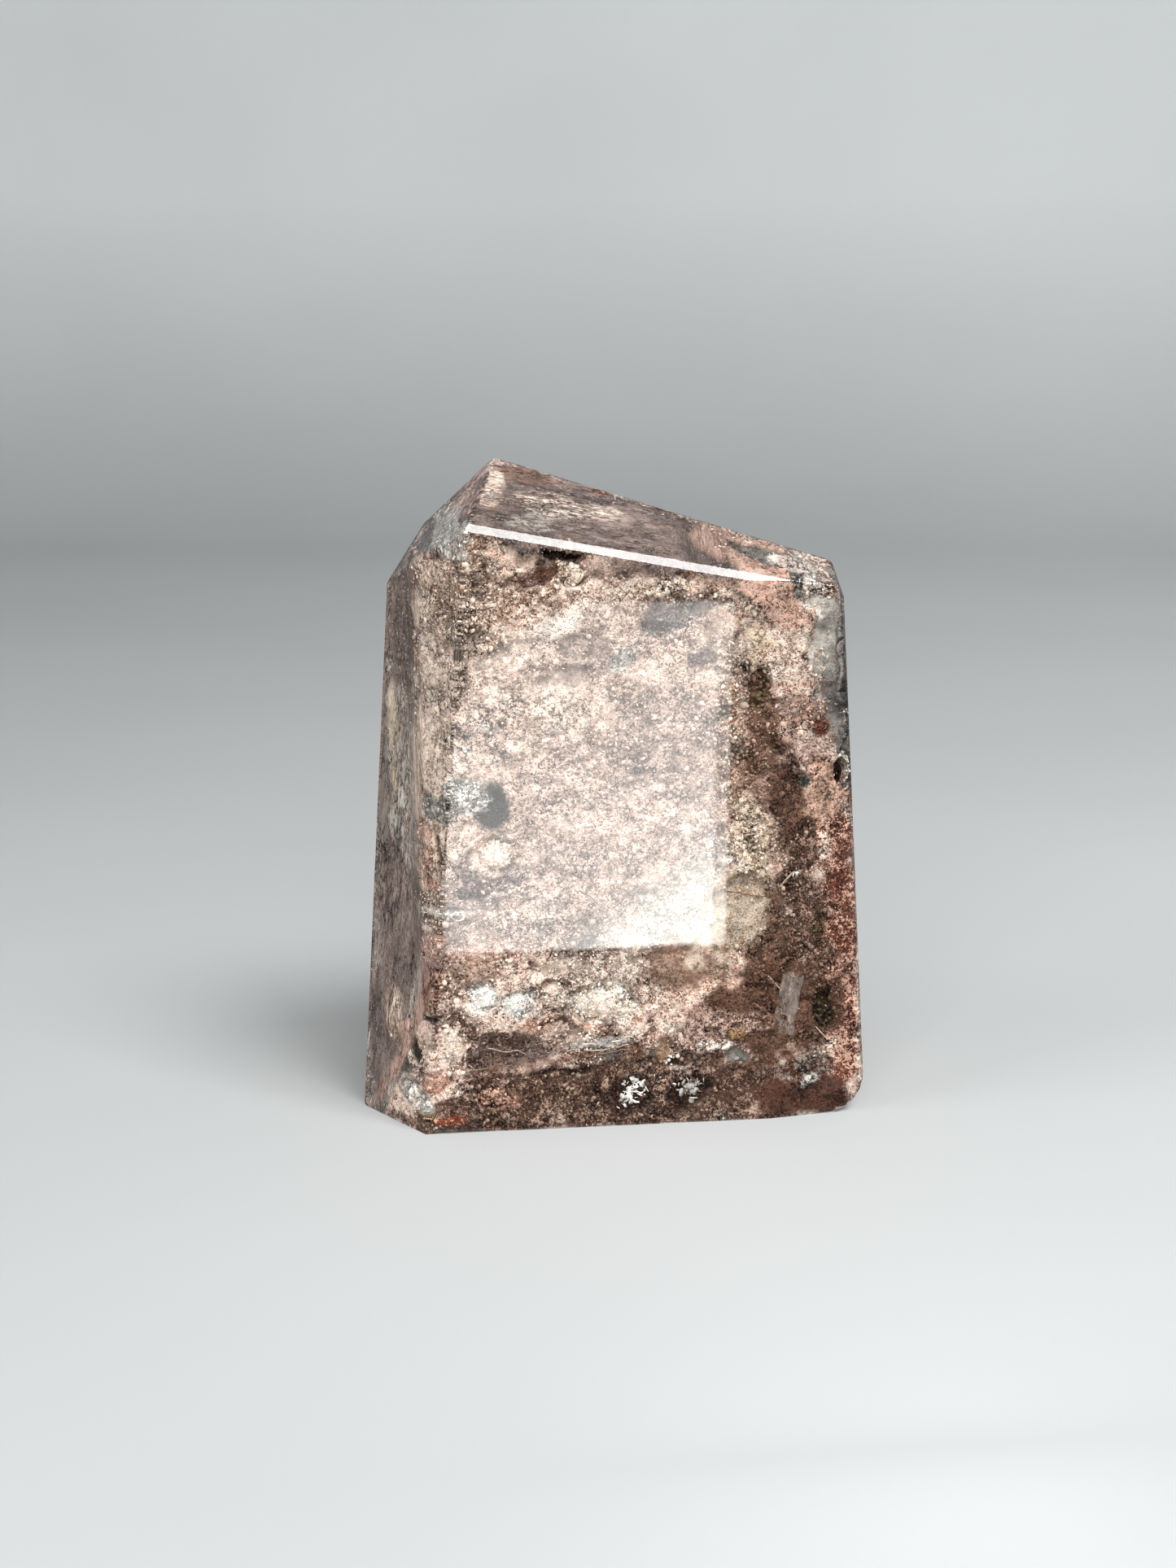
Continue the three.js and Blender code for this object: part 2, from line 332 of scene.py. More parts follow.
# Patches of inclusions on the facets towards the view, each laid over the ones before it
ZONES = (
    # pale sand of the middle
    Zone(-2.2, 38.4, 18.7, 20.3, 0, Mineral.SAND, Mineral.PETAL, 0.45, 0.9, 0.68),
    # broad shade of the lower right
    Zone(18.3, 15.7, 7.8, 13.4, 0, Mineral.BROWN, Mineral.UMBER, 0.45, 1.4, 1.1),
    # sand along the front's left edge
    Zone(-18.0, 56.8, 3.1, 6.7, 0, Mineral.TAN, Mineral.CREAM, 0.45, 0.9, 1.1),
    # paler sand below it
    Zone(-19.0, 44.5, 2.3, 15.2, 0, Mineral.SAND, Mineral.CREAM, 0.45, 0.6, 1),
    # pale sand of the upper left
    Zone(-14.9, 54.6, 4.1, 5.3, 0, Mineral.TAN, Mineral.CREAM, 0.5, 0.9, 1.1),
    # honey glass
    Zone(6.8, 17.5, 5.5, 2.8, 0, Mineral.UMBER, Mineral.TAN, 0.45, 1.4, 0.5),
    # rosy bed under the light
    Zone(-10.7, 17.4, 8.7, 2.8, 0, Mineral.BLUSH, Mineral.CREAM, 0.45, 1, 1.2),
    # brown upper left
    Zone(-11.2, 59.6, 7.2, 5.2, 0, Mineral.TAN, Mineral.CREAM, 0.35, 1.2, 1.1),
    # grey below the brown
    Zone(-13.7, 51.6, 4.7, 2.2, 0, Mineral.SAND, Mineral.CREAM, 0.4, 1.2, 0.5),
    # mauve hollow
    Zone(-9.3, 58.8, 2.9, 1.0, -8, Mineral.ROSE_GREY, Mineral.TAN, 0.4, 1.3, 0.8),
    # cream crust
    Zone(-12.4, 61.1, 1.4, 2.4, -25, Mineral.CREAM, Mineral.SALMON, 0.35, 0.6, 1.4),
    # clear grey window
    Zone(-9.7, 61.5, 1.9, 1.4, 0, Mineral.SAND, Mineral.TAN, 0.3, 1.3, 0.3),
    # brown under the brow
    Zone(3.6, 59.6, 9.7, 1.7, 9, Mineral.SAND, Mineral.BLUSH, 0.45, 1, 1),
    # dark streak under the brow
    Zone(5.3, 59.7, 6.1, 0.8, 9, Mineral.UMBER, Mineral.BROWN, 0.35, 0.9, 0.9),
    # cream crust under the brow
    Zone(3.6, 57.9, 5.7, 1.0, -4, Mineral.SAND, Mineral.CREAM, 0.5, 0.7, 1),
    # cream at the brow's end
    Zone(10.5, 58.6, 3.5, 1.1, 10, Mineral.TAN, Mineral.SAND, 0.35, 0.8, 1),
    # dark hollow under the brow, painted near-black as shade
    Zone(-5.2, 61.5, 2.2, 0.9, 8, Mineral.CAVITY_SHADE, Mineral.MAROON, 0.25, 2.4, 0.7),
    # dark hollow beside it
    Zone(-7.4, 59.9, 1.2, 1.5, 30, Mineral.BROWN, Mineral.DUSK, 0.35, 1.6, 0.6),
    # round crust
    Zone(-4.5, 59.4, 1.3, 1.2, 0, Mineral.SAND, Mineral.CREAM, 0.55, 0.6, 1.6),
    # salmon sand
    Zone(-7.8, 55.3, 7.0, 1.7, -24, Mineral.BLUSH, Mineral.CREAM, 0.5, 0.8, 1),
    # white spot
    Zone(-6.1, 54.1, 2.2, 1.2, -20, Mineral.WHITE, Mineral.CREAM, 0.5, 0.5, 1.2),
    # grey window
    Zone(4.6, 54.5, 2.9, 1.9, -7, Mineral.MAUVE, Mineral.GREY, 0.4, 1.3, 0.6),
    # grey window beside it
    Zone(8.9, 55.6, 1.4, 0.9, -20, Mineral.TOPSAND, Mineral.GREY, 0.4, 1.3, 0.6),
    # cream by the edge
    Zone(10.7, 53.5, 2.1, 2.1, 0, Mineral.SAND, Mineral.TAN, 0.4, 0.5, 1),
    # white crust
    Zone(0.5, 50.3, 1.9, 1.1, -25, Mineral.GREY, Mineral.PEARL, 0.45, 0.5, 1.3),
    # grey cloud
    Zone(-3.2, 51.4, 2.8, 1.5, 10, Mineral.TOPSAND, Mineral.SAND, 0.4, 1.4, 0.5),
    # lower grey cloud
    Zone(-5.1, 48.7, 3.8, 1.1, -8, Mineral.TOPSAND, Mineral.SAND, 0.45, 1.3, 0.5),
    # grey notch
    Zone(9.4, 50.6, 1.7, 1.0, 0, Mineral.MAUVE, Mineral.TOPSAND, 0.4, 1.2, 0.9),
    # rosy sand
    Zone(-6.7, 44.9, 4.0, 2.1, -5, Mineral.SAND, Mineral.CREAM, 0.5, 0.6, 0.68),
    # grey speck
    Zone(-10.2, 41.1, 1.3, 1.0, 0, Mineral.SAND, Mineral.CREAM, 0.45, 0.9, 0.6),
    # green spot
    Zone(-14.1, 35.3, 2.1, 2.1, 0, Mineral.CHLORITE, Mineral.MOSS, 0.4, 0.7, 0.9),
    # white by the green spot
    Zone(-16.3, 36.1, 2.2, 1.9, 0, Mineral.GREY, Mineral.WHITE, 0.5, 1.3, 0.9),
    # grey edge of the green spot
    Zone(-19.0, 35.0, 1.7, 1.3, 0, Mineral.GREY, Mineral.PEARL, 0.3, 1.2, 0.8),
    # cream cauliflower
    Zone(-13.0, 29.9, 2.2, 1.7, 0, Mineral.CREAM, Mineral.PETAL, 0.4, 0.5, 1.6),
    # painted shadow, grey, under the cauliflower
    Zone(-13.5, 26.5, 4.0, 0.9, -12, Mineral.MAUVE, Mineral.SAND, 0.45, 1.3, 0.9),
    # painted shadow, grey, left of the cauliflower
    Zone(-15.9, 28.3, 0.8, 1.7, 0, Mineral.MAUVE, Mineral.SAND, 0.45, 1.3, 0.9),
    # white vein
    Zone(-19.3, 23.8, 3.2, 0.4, 0, Mineral.WHITE, Mineral.CREAM, 0.4, 0.5, 0.8),
    # red-brown pits
    Zone(-20.1, 20.0, 1.2, 1.9, 0, Mineral.BLUSH, Mineral.REDDISH, 0.3, 1.1, 1.3),
    # lower left brown
    Zone(-14.0, 16.5, 6.3, 3.9, 0, Mineral.BLUSH, Mineral.CREAM, 0.35, 1.5, 1.2),
    # tan flecks in the brown
    Zone(-15.9, 18.0, 2.6, 1.6, 0, Mineral.TAN, Mineral.BLUSH, 0.4, 1.1, 1.4),
    # pale green patch
    Zone(-6.7, 17.5, 1.7, 1.9, 0, Mineral.CREAM, Mineral.MILKY, 0.4, 0.7, 0.55),
    # mauve shade
    Zone(-2.0, 17.5, 5.3, 1.9, 0, Mineral.TOPSAND, Mineral.CREAM, 0.4, 1, 0.55),
    # first white lump
    Zone(-14.6, 14.5, 1.7, 1.5, 0, Mineral.WHITE, Mineral.WHITE, 0.8, 0.35, 1.6),
    # second white lump
    Zone(-11.1, 13.8, 2.0, 1.8, 0, Mineral.WHITE, Mineral.WHITE, 0.8, 0.35, 1.6),
    # cream lump
    Zone(-7.2, 14.5, 1.6, 1.6, 0, Mineral.CREAM, Mineral.PETAL, 0.4, 0.5, 1.5),
    # long cream lump
    Zone(-1.0, 13.2, 4.4, 2.0, 6, Mineral.WHITE, Mineral.CREAM, 0.6, 0.4, 1.6),
    # rosy sand of the foot
    Zone(-12.7, 13.1, 6.6, 3.0, -28, Mineral.PETAL, Mineral.CREAM, 0.5, 0.6, 1.3),
    # fluffy pink clump
    Zone(-18.8, 8.8, 2.3, 4.1, 24, Mineral.PETAL, Mineral.CREAM, 0.45, 0.4, 1.8),
    # tip of the pink clump
    Zone(-19.9, 5.5, 1.4, 1.6, 10, Mineral.SALMON, Mineral.ROSE_GREY, 0.35, 0.4, 1.6),
    # dark hollow left, painted near-black as shade
    Zone(-20.8, 12.3, 1.4, 0.5, -8, Mineral.CAVITY_SHADE, Mineral.MAROON, 0.4, 1.9, 0.6),
    # dark hollow lower left, painted near-black as shade
    Zone(-22.3, 9.1, 0.5, 1.7, -12, Mineral.CAVITY_SHADE, Mineral.OLIVE, 0.4, 1.8, 0.6),
    # lavender clump
    Zone(-7.2, 10.4, 2.1, 1.6, 0, Mineral.TAN, Mineral.SAND, 0.45, 0.5, 1.6),
    # mauve bed
    Zone(-10.8, 8.8, 5.4, 2.1, -4, Mineral.UMBER, Mineral.MAUVE, 0.4, 1.3, 1),
    # pale wave
    Zone(-1.9, 9.2, 3.7, 0.6, -6, Mineral.GREY, Mineral.PEARL, 0.45, 0.7, 0.6),
    # lower pale wave
    Zone(-6.5, 7.6, 5.3, 0.3, -6, Mineral.ROSE_GREY, Mineral.TAN, 0.3, 0.8, 0.6),
    # dark seam
    Zone(0.6, 6.5, 11.9, 0.8, -3, Mineral.DUSK, Mineral.CAVITY_SHADE, 0.5, 1.8, 0.8),
    # dark foot bed
    Zone(0.5, 2.9, 22.2, 3.8, -2, Mineral.DUSK, Mineral.TAN, 0.3, 1.2, 1.3),
    # round pink clump
    Zone(-13.4, 3.6, 2.0, 1.4, 5, Mineral.BROWN, Mineral.SALMON, 0.4, 0.5, 1.5),
    # white clump at the corner
    Zone(-22.2, 3.4, 1.9, 1.5, 35, Mineral.SAND, Mineral.WHITE, 0.5, 0.5, 1.5),
    # green rim
    Zone(-21.2, 1.7, 1.6, 0.6, 20, Mineral.OLIVE, Mineral.APRICOT, 0.4, 1.1, 0.8),
    # rust at the foot
    Zone(-18.3, 1.4, 2.1, 0.5, -3, Mineral.RUST, Mineral.SALMON, 0.35, 0.8, 1.2),
    # silver flakes
    Zone(0.7, 3.6, 2.3, 2.2, 15, Mineral.DUSK, Mineral.CAVITY_SHADE, 0.4, 1.7, 0.6),
    # more silver flakes
    Zone(7.7, 3.5, 2.1, 2.2, 0, Mineral.DUSK, Mineral.CAVITY_SHADE, 0.4, 1.7, 0.6),
    # brown beside the light
    Zone(12.7, 41.9, 2.1, 8.7, 0, Mineral.TAN, Mineral.CREAM, 0.35, 1.4, 1.2),
    # dark olive bed
    Zone(15.8, 41.4, 2.9, 7.7, 0, Mineral.TAN, Mineral.BROWN, 0.5, 1.8, 1),
    # olive notch
    Zone(13.8, 50.0, 0.7, 1.7, 0, Mineral.OLIVE, Mineral.TAN, 0.35, 1.6, 0.5),
    # cream column
    Zone(12.2, 51.7, 1.9, 2.6, -10, Mineral.SAND, Mineral.CREAM, 0.4, 0.5, 1.1),
    # yellow-cream clump
    Zone(13.8, 29.6, 2.3, 3.9, -4, Mineral.CREAM, Mineral.WHITE, 0.4, 0.6, 1.4),
    # cream bed beside the light
    Zone(14.5, 30.8, 2.7, 4.6, -6, Mineral.STRAW, Mineral.CREAM, 0.5, 0.7, 1.3),
    # brown bed right of it
    Zone(18.3, 30.3, 2.2, 5.5, 0, Mineral.TAN, Mineral.SAND, 0.35, 1.4, 1.2),
    # white cluster
    Zone(20.4, 55.1, 1.3, 1.2, 0, Mineral.WHITE, Mineral.STRAW, 0.35, 0.7, 1.4),
    # dark end of the corner, painted near-black as shade
    Zone(24.8, 37.5, 1.2, 1.9, 0, Mineral.CAVITY_SHADE, Mineral.CHLORITE, 0.4, 3, 0.5),
    # red-brown side
    Zone(24.2, 19.8, 2.6, 16.5, 0, Mineral.REDDISH, Mineral.SALMON, 0.3, 0.6, 1.1),
    # dark inner side
    Zone(20.1, 20.9, 2.7, 12.5, 0, Mineral.DUSK, Mineral.TAN, 0.35, 1.5, 1.2),
    # orange foot side
    Zone(24.9, 10.3, 1.4, 6.0, 0, Mineral.REDDISH, Mineral.SALMON, 0.45, 0.6, 1),
    # smoky pocket
    Zone(12.3, 21.7, 3.6, 5.8, 20, Mineral.MILKY, Mineral.HONEY, 0.3, 1.6, 0.5),
    # shade under the pocket
    Zone(16.2, 17.1, 2.4, 5.3, 35, Mineral.UMBER, Mineral.BROWN, 0.4, 1.6, 0.8),
    # dark lower right
    Zone(17.1, 12.3, 7.3, 5.4, 0, Mineral.BROWN, Mineral.DUSK, 0.3, 1.4, 1.3),
    # green glint
    Zone(22.0, 20.8, 0.7, 2.3, 0, Mineral.OLIVE, Mineral.BROWN, 0.4, 1.8, 0.9),
    # pale shard
    Zone(18.9, 15.1, 0.7, 0.9, 0, Mineral.TAN, Mineral.GREY, 0.4, 0.7, 0.8),
    # rosy flecks
    Zone(12.1, 11.0, 4.3, 1.0, 4, Mineral.UMBER, Mineral.BLUSH, 0.35, 0.8, 1.3),
    # amber flecks
    Zone(12.6, 9.6, 1.0, 0.5, 0, Mineral.HONEY, Mineral.AMBER, 0.4, 0.8, 1),
    # amber pocket
    Zone(4.7, 8.1, 1.2, 1.5, 0, Mineral.HONEY, Mineral.TAN, 0.4, 1.2, 0.6),
    # white flake bed
    Zone(10.4, 8.5, 2.5, 0.5, 0, Mineral.TAN, Mineral.WHITE, 0.45, 0.6, 0.9),
    # olive hollow
    Zone(22.3, 11.6, 1.1, 1.8, 0, Mineral.OLIVE, Mineral.CAVITY_SHADE, 0.4, 2.6, 0.9),
    # grey sparkle bed
    Zone(19.9, 5.5, 3.5, 1.3, -6, Mineral.MAROON, Mineral.GREY, 0.35, 0.9, 1.1),
    # lower right bed
    Zone(20.3, 2.0, 5.7, 2.2, 0, Mineral.MAROON, Mineral.DUSK, 0.4, 1.1, 1.1),
    # top bed
    Zone(-0.8, 64.3, 20.5, 4.1, 13, Mineral.TOPSAND, Mineral.MAUVE, 0.4, 0.7, 0.8),
    # brown streak by the apex
    Zone(-8.8, 68.9, 4.2, 0.7, 14, Mineral.UMBER, Mineral.ROSE_GREY, 0.4, 0.9, 0.6),
    # rosy apex
    Zone(-12.7, 68.3, 2.3, 1.8, 30, Mineral.PETAL, Mineral.CREAM, 0.4, 0.5, 0.8),
    # cream streaks
    Zone(-4.1, 65.8, 8.2, 0.9, 9, Mineral.TOPSAND, Mineral.CREAM, 0.35, 0.6, 0.8),
    # grey window of the top
    Zone(-8.5, 64.7, 2.9, 0.7, 8, Mineral.TOPSAND, Mineral.PEARL, 0.4, 0.7, 0.6),
    # dark streak of the top
    Zone(-1.2, 63.7, 5.1, 0.6, 8, Mineral.MAUVE, Mineral.TOPSAND, 0.4, 1, 0.7),
    # mauve streak of the top
    Zone(2.4, 65.8, 8.4, 0.7, 14, Mineral.MAUVE, Mineral.TOPSAND, 0.35, 1.1, 0.6),
    # rust at the ridge
    Zone(-0.1, 67.2, 1.2, 0.4, 14, Mineral.REDDISH, Mineral.TAN, 0.35, 0.7, 0.8),
    # plain bed of both left facets
    Zone(-23.0, 34.0, 6.0, 42.0, 0, Mineral.TOPSAND, Mineral.PEARL, 0.4, 0.5, 0.35),
    # upper left facet
    Zone(-18.3, 63.0, 3.0, 3.7, -52, Mineral.PEARL, Mineral.WHITE, 0.3, 0.55, 0.35),
    # dark streak of the upper left
    Zone(-19.3, 62.0, 2.5, 0.4, -54, Mineral.GREY, Mineral.MAUVE, 0.4, 0.55, 0.35),
    # left facet, dark top
    Zone(-22.3, 53.3, 1.6, 6.7, 0, Mineral.TOPSAND, Mineral.MAUVE, 0.3, 0.55, 0.35),
    # left facet, rosy middle
    Zone(-20.1, 42.4, 1.3, 17.1, 2, Mineral.SAND, Mineral.CREAM, 0.5, 0.5, 0.35),
    # left facet, outer streak
    Zone(-24.6, 35.9, 0.8, 15.7, 0, Mineral.TOPSAND, Mineral.GREY, 0.4, 0.55, 0.35),
    # left facet, straw streak
    Zone(-23.3, 40.6, 0.4, 4.9, 0, Mineral.PEARL, Mineral.STRAW, 0.5, 0.55, 0.35),
    # left facet, brown foot
    Zone(-23.1, 23.5, 2.2, 6.9, 0, Mineral.MAUVE, Mineral.TOPSAND, 0.45, 0.55, 0.35),
    # left facet, grey foot
    Zone(-24.3, 12.7, 1.7, 9.6, 4, Mineral.TOPSAND, Mineral.MAUVE, 0.35, 0.55, 0.35),
    # left facet, white spot
    Zone(-20.3, 50.8, 0.6, 1.5, 0, Mineral.WHITE, Mineral.WHITE, 0.5, 0.5, 0.35),
    # left facet, pale tongue
    Zone(-24.0, 11.6, 0.7, 3.0, 6, Mineral.TAN, Mineral.CREAM, 0.4, 0.55, 0.35),
    # left facet, rosy strip
    Zone(-21.8, 11.8, 0.8, 7.7, 19, Mineral.SALMON, Mineral.BLUSH, 0.5, 0.35, 0.35),
    # brown crust right of the rosy strip
    Zone(-20.7, 14.6, 1.3, 3.8, 20, Mineral.BROWN, Mineral.SALMON, 0.35, 1.1, 1.2),
    # brown left of the band
    Zone(18.0, 36.9, 2.5, 4.6, 0, Mineral.DUSK, Mineral.BROWN, 0.4, 1.2, 1.1),
    # clear corner
    Zone(22.3, 49.8, 2.4, 11.3, -12, Mineral.PEARL, Mineral.WHITE, 0.3, 1.5, 0.45),
    # salmon top
    Zone(12.7, 62.0, 4.1, 1.6, 18, Mineral.PETAL, Mineral.SALMON, 0.5, 0.5, 0.9),
    # salmon shoulder
    Zone(16.6, 58.9, 3.2, 3.1, -28, Mineral.BLUSH, Mineral.SALMON, 0.4, 0.5, 0.9),
    # salmon band
    Zone(17.9, 55.0, 2.9, 3.6, -10, Mineral.BLUSH, Mineral.SALMON, 0.45, 0.5, 0.9),
    # middle of the salmon band
    Zone(17.4, 51.0, 3.1, 3.3, -4, Mineral.SAND, Mineral.CREAM, 0.45, 0.5, 0.9),
    # straw beside the band
    Zone(14.5, 53.5, 1.8, 2.6, -20, Mineral.TAN, Mineral.SAND, 0.4, 0.6, 1.1),
    # pale edge of the salmon band
    Zone(15.8, 50.9, 2.1, 3.1, -30, Mineral.SAND, Mineral.STRAW, 0.5, 0.5, 1.1),
    # turn of the salmon band
    Zone(19.2, 48.0, 3.1, 3.8, -14, Mineral.BLUSH, Mineral.CREAM, 0.5, 0.5, 0.9),
    # apricot band
    Zone(20.6, 43.1, 2.8, 3.7, -15, Mineral.PETAL, Mineral.SALMON, 0.45, 0.5, 0.9),
    # narrow of the apricot band
    Zone(21.5, 39.0, 2.5, 3.2, -18, Mineral.BLUSH, Mineral.PETAL, 0.45, 0.5, 0.9),
    # apricot end
    Zone(22.7, 36.0, 2.4, 3.2, -20, Mineral.TAN, Mineral.SALMON, 0.35, 0.5, 0.9),
    # rust spot
    Zone(22.1, 42.6, 0.9, 1.0, 0, Mineral.RUST, Mineral.REDDISH, 0.35, 0.7, 0.9),
    # olive spot
    Zone(15.4, 46.6, 1.4, 1.9, 0, Mineral.OLIVE, Mineral.BROWN, 0.45, 2, 1),
    # green spot at the shoulder
    Zone(19.6, 58.5, 0.8, 0.9, 0, Mineral.MOSS, Mineral.GREY, 0.4, 1.3, 0.6),
    # second green spot
    Zone(19.7, 56.9, 0.8, 1.0, 0, Mineral.GREY, Mineral.MOSS, 0.45, 1.3, 0.6),
    # green streak at the top
    Zone(16.5, 60.7, 3.0, 0.7, 16, Mineral.GREY, Mineral.MOSS, 0.4, 1.2, 0.5),
    # white top streak
    Zone(19.0, 59.9, 2.3, 0.6, 14, Mineral.WHITE, Mineral.PETAL, 0.4, 0.5, 0.9),
)


# Beds that fill the rest of the stone, from the most common to the rarest
BEDDINGS = (
    Bedding(11, 15.0, 0.05, Mineral.UMBER, Mineral.CREAM, 0.4, 1.4, 1.1),
    Bedding(12, 13.0, 0.15, Mineral.ROSE_GREY, Mineral.BLUSH, 0.4, 0.9, 0.8),
    Bedding(13, 12.0, 0.2, Mineral.BLUSH, Mineral.CREAM, 0.45, 0.6, 1.0),
    Bedding(14, 9.0, 0.45, Mineral.BROWN, Mineral.TAN, 0.35, 1.9, 1.0),
    Bedding(15, 7.0, 0.45, Mineral.CREAM, Mineral.WHITE, 0.4, 0.5, 1.5),
    Bedding(16, 6.0, 0.6, Mineral.GREY, Mineral.MAUVE, 0.25, 1.9, 0.45),
    # deep hollows painted near-black as shade
    Bedding(17, 5.0, 0.9, Mineral.CAVITY_SHADE, Mineral.BROWN, 0.25, 2.4, 0.6),
    Bedding(18, 5.0, 0.8, Mineral.CHLORITE, Mineral.GREY, 0.25, 1.6, 0.5),
    Bedding(19, 10.0, 0.4, Mineral.SALMON, Mineral.CREAM, 0.4, 0.6, 1.0),
)

# Clear pockets: the right shoulder, and one low on the back for the views from there
WINDOWS = (
    Window((27.5, -3.0, 49.5), (6.2, 24.0, 11.5), Mineral.GREY, Mineral.MAUVE, 0.4, 1.1, 0.4),
    Window((-8.0, 17.0, 46.0), (7.0, 5.0, 8.0), Mineral.GREY, Mineral.CREAM, 0.3, 4.0, 0.8),
)


def mesh_object(name: str, mesh: bpy.types.Mesh) -> bpy.types.Object:
    """Puts a mesh into the scene as an object of that name."""
    mesh.name = name
    made = bpy.data.objects.new(name, mesh)
    bpy.context.scene.collection.objects.link(made)
    return made


def settle(piece: bpy.types.Object, finish: bpy.types.Material) -> bpy.types.Object:
    """Gives a piece its finish and lets it ride with the stone.

    Args:
        piece: the finished object.
        finish: its material.

    Returns:
        The same object.
    """
    piece.data.materials.clear()
    piece.data.materials.append(finish)
    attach(piece, STONE_BODY)
    log.info("%s: %d faces", piece.name, len(piece.data.polygons))
    return piece


def paint(mesh: bpy.types.Mesh, name: str, colours: np.ndarray) -> None:
    """Stores one colour a vertex.

    Args:
        mesh: the mesh to paint.
        name: the attribute's name.
        colours: red, green, blue and alpha for each vertex.
    """
    layer = mesh.attributes.new(name, "FLOAT_COLOR", "POINT")
    layer.data.foreach_set("color", colours.astype(np.float32).ravel())


def vertex_places(mesh: bpy.types.Mesh) -> np.ndarray:
    """The mesh's vertices in mm, one a row."""
    flat = np.zeros(len(mesh.vertices) * 3, np.float32)
    mesh.vertices.foreach_get("co", flat)
    return flat.reshape(-1, 3).astype(float) / MM


def move_vertices(mesh: bpy.types.Mesh, places: np.ndarray) -> None:
    """Sets the mesh's vertices to places in mm."""
    mesh.vertices.foreach_set("co", (places * MM).astype(np.float32).ravel())
    mesh.update()


class Stone:
    """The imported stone's shape: its flat facets, and copies of its closed mesh.

    Attributes:
        node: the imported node's object.
        normals: outward directions of the flat facets, one a row.
        offsets: distance in mm of each facet's plane from the origin.
    """

    TOWARDS_VIEW = np.array([-0.136, -0.969, 0.208])
    SMALLEST_FACET = 15.0
    FOOT_GAP = 0.08
    EDGE_DEPTH = 0.3
    DEPTH_SLOPE = 1.3
    SIDE_DEPTH = 0.5
    ROUNDS = 3

    def __init__(self, node: bpy.types.Object) -> None:
        """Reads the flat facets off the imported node.

        Args:
            node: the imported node's object.
        """
        self.node = node
        shape = self.merged()
        areas: list[list] = []
        for face in sorted(shape.faces, key=lambda f: -f.calc_area()):
            normal = np.array(face.normal)
            offset = float(normal @ np.array(face.verts[0].co)) / MM
            for known in areas:
                if known[0] @ normal > 0.99999 and abs(known[1] - offset) < 0.05:
                    known[2] += face.calc_area() / MM**2
                    break
            else:
                areas.append([normal, offset, face.calc_area() / MM**2])
        shape.free()
        flats = [known for known in areas if known[2] > self.SMALLEST_FACET]
        self.normals = np.array([known[0] for known in flats])
        self.offsets = np.array([known[1] for known in flats])
        log.info("stone: %d flat facets", len(flats))

    def merged(self) -> bmesh.types.BMesh:
        """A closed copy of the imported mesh, for the caller to free."""
        shape = bmesh.new()
        shape.from_mesh(self.node.data)
        bmesh.ops.remove_doubles(shape, verts=shape.verts, dist=1e-6)
        return shape

    def facing(self, places: np.ndarray) -> np.ndarray:
        """The facet direction at points on the surface.

        Args:
            places: points in mm, one a row.

        Returns:
            One outward direction a point.
        """
        return self.normals[(places @ self.normals.T - self.offsets).argmax(axis=1)]

    def sunk(self, places: np.ndarray, depth: np.ndarray) -> np.ndarray:
        """Moves points of the surface straight inwards, and keeps them clear of every facet.

        Args:
            places: points in mm, one a row.
            depth: how far each goes below its own facet, in mm.

        Returns:
            The moved points.
        """
        depth = np.minimum(depth, self.EDGE_DEPTH + self.DEPTH_SLOPE * np.maximum(places[:, 2], 0.0))
        own = (places @ self.normals.T - self.offsets).argmax(axis=1)
        on_foot = self.normals[own, 2] < -0.5
        moved = places - self.normals[own] * np.where(on_foot, self.FOOT_GAP, depth)[:, None]
        least = np.minimum(depth, self.SIDE_DEPTH)
        for _ in range(self.ROUNDS):
            for normal, offset in zip(self.normals, self.offsets):
                wanted = self.FOOT_GAP if normal[2] < -0.5 else least
                short = np.maximum(wanted - (offset - moved @ normal), 0.0)
                moved = moved - short[:, None] * normal
        return moved

    def front_at(self, across: float, up: float) -> np.ndarray:
        """The point of the polished front at that X and Z, in mm."""
        front = self.normals[:, 1] < -0.05
        normals, offsets = self.normals[front], self.offsets[front]
        deep = (offsets - normals[:, 0] * across - normals[:, 2] * up) / normals[:, 1]
        return np.array([across, deep.max(), up])

    def clearance(self, places: np.ndarray) -> np.ndarray:
        """How far in mm each point lies inside the nearest facet."""
        return (self.offsets - places @ self.normals.T).min(axis=1)


@dataclass
class BedSample:
    """What the bed is like at each of some points.

    Attributes:
        ground: colour of most of it.
        fleck: colour of its flecks.
        share: share of it that is flecks.
        depth: how far it lies below the polish, in mm.
        lumps: how lumpy it is.
        upright: how far its grain runs upright.
        level: how far its grain runs along the brow.
    """

    ground: np.ndarray
    fleck: np.ndarray
    share: np.ndarray
    depth: np.ndarray
    lumps: np.ndarray
    upright: np.ndarray
    level: np.ndarray

    @property
    def crumbly(self) -> np.ndarray:
        """How strongly its crumbs stand apart, from 0 to 1."""
        return np.maximum(np.clip((self.lumps - 0.25) * 2.2, 0.4, 1.0), self.upright)

    def lay(self, cover: np.ndarray, kind: Zone | Bedding | Window) -> None:
        """Lays a kind of bed over the sample.

        Args:
            cover: how far it covers each point.
            kind: the zone, bedding or window to lay.
        """
        part = cover[:, None]
        self.ground += (np.array(kind.ground.light) - self.ground) * part
        self.fleck += (np.array(kind.fleck.light) - self.fleck) * part
        self.share += (kind.share - self.share) * cover
        self.depth += (kind.depth - self.depth) * cover
        self.lumps += (kind.lumps - self.lumps) * cover


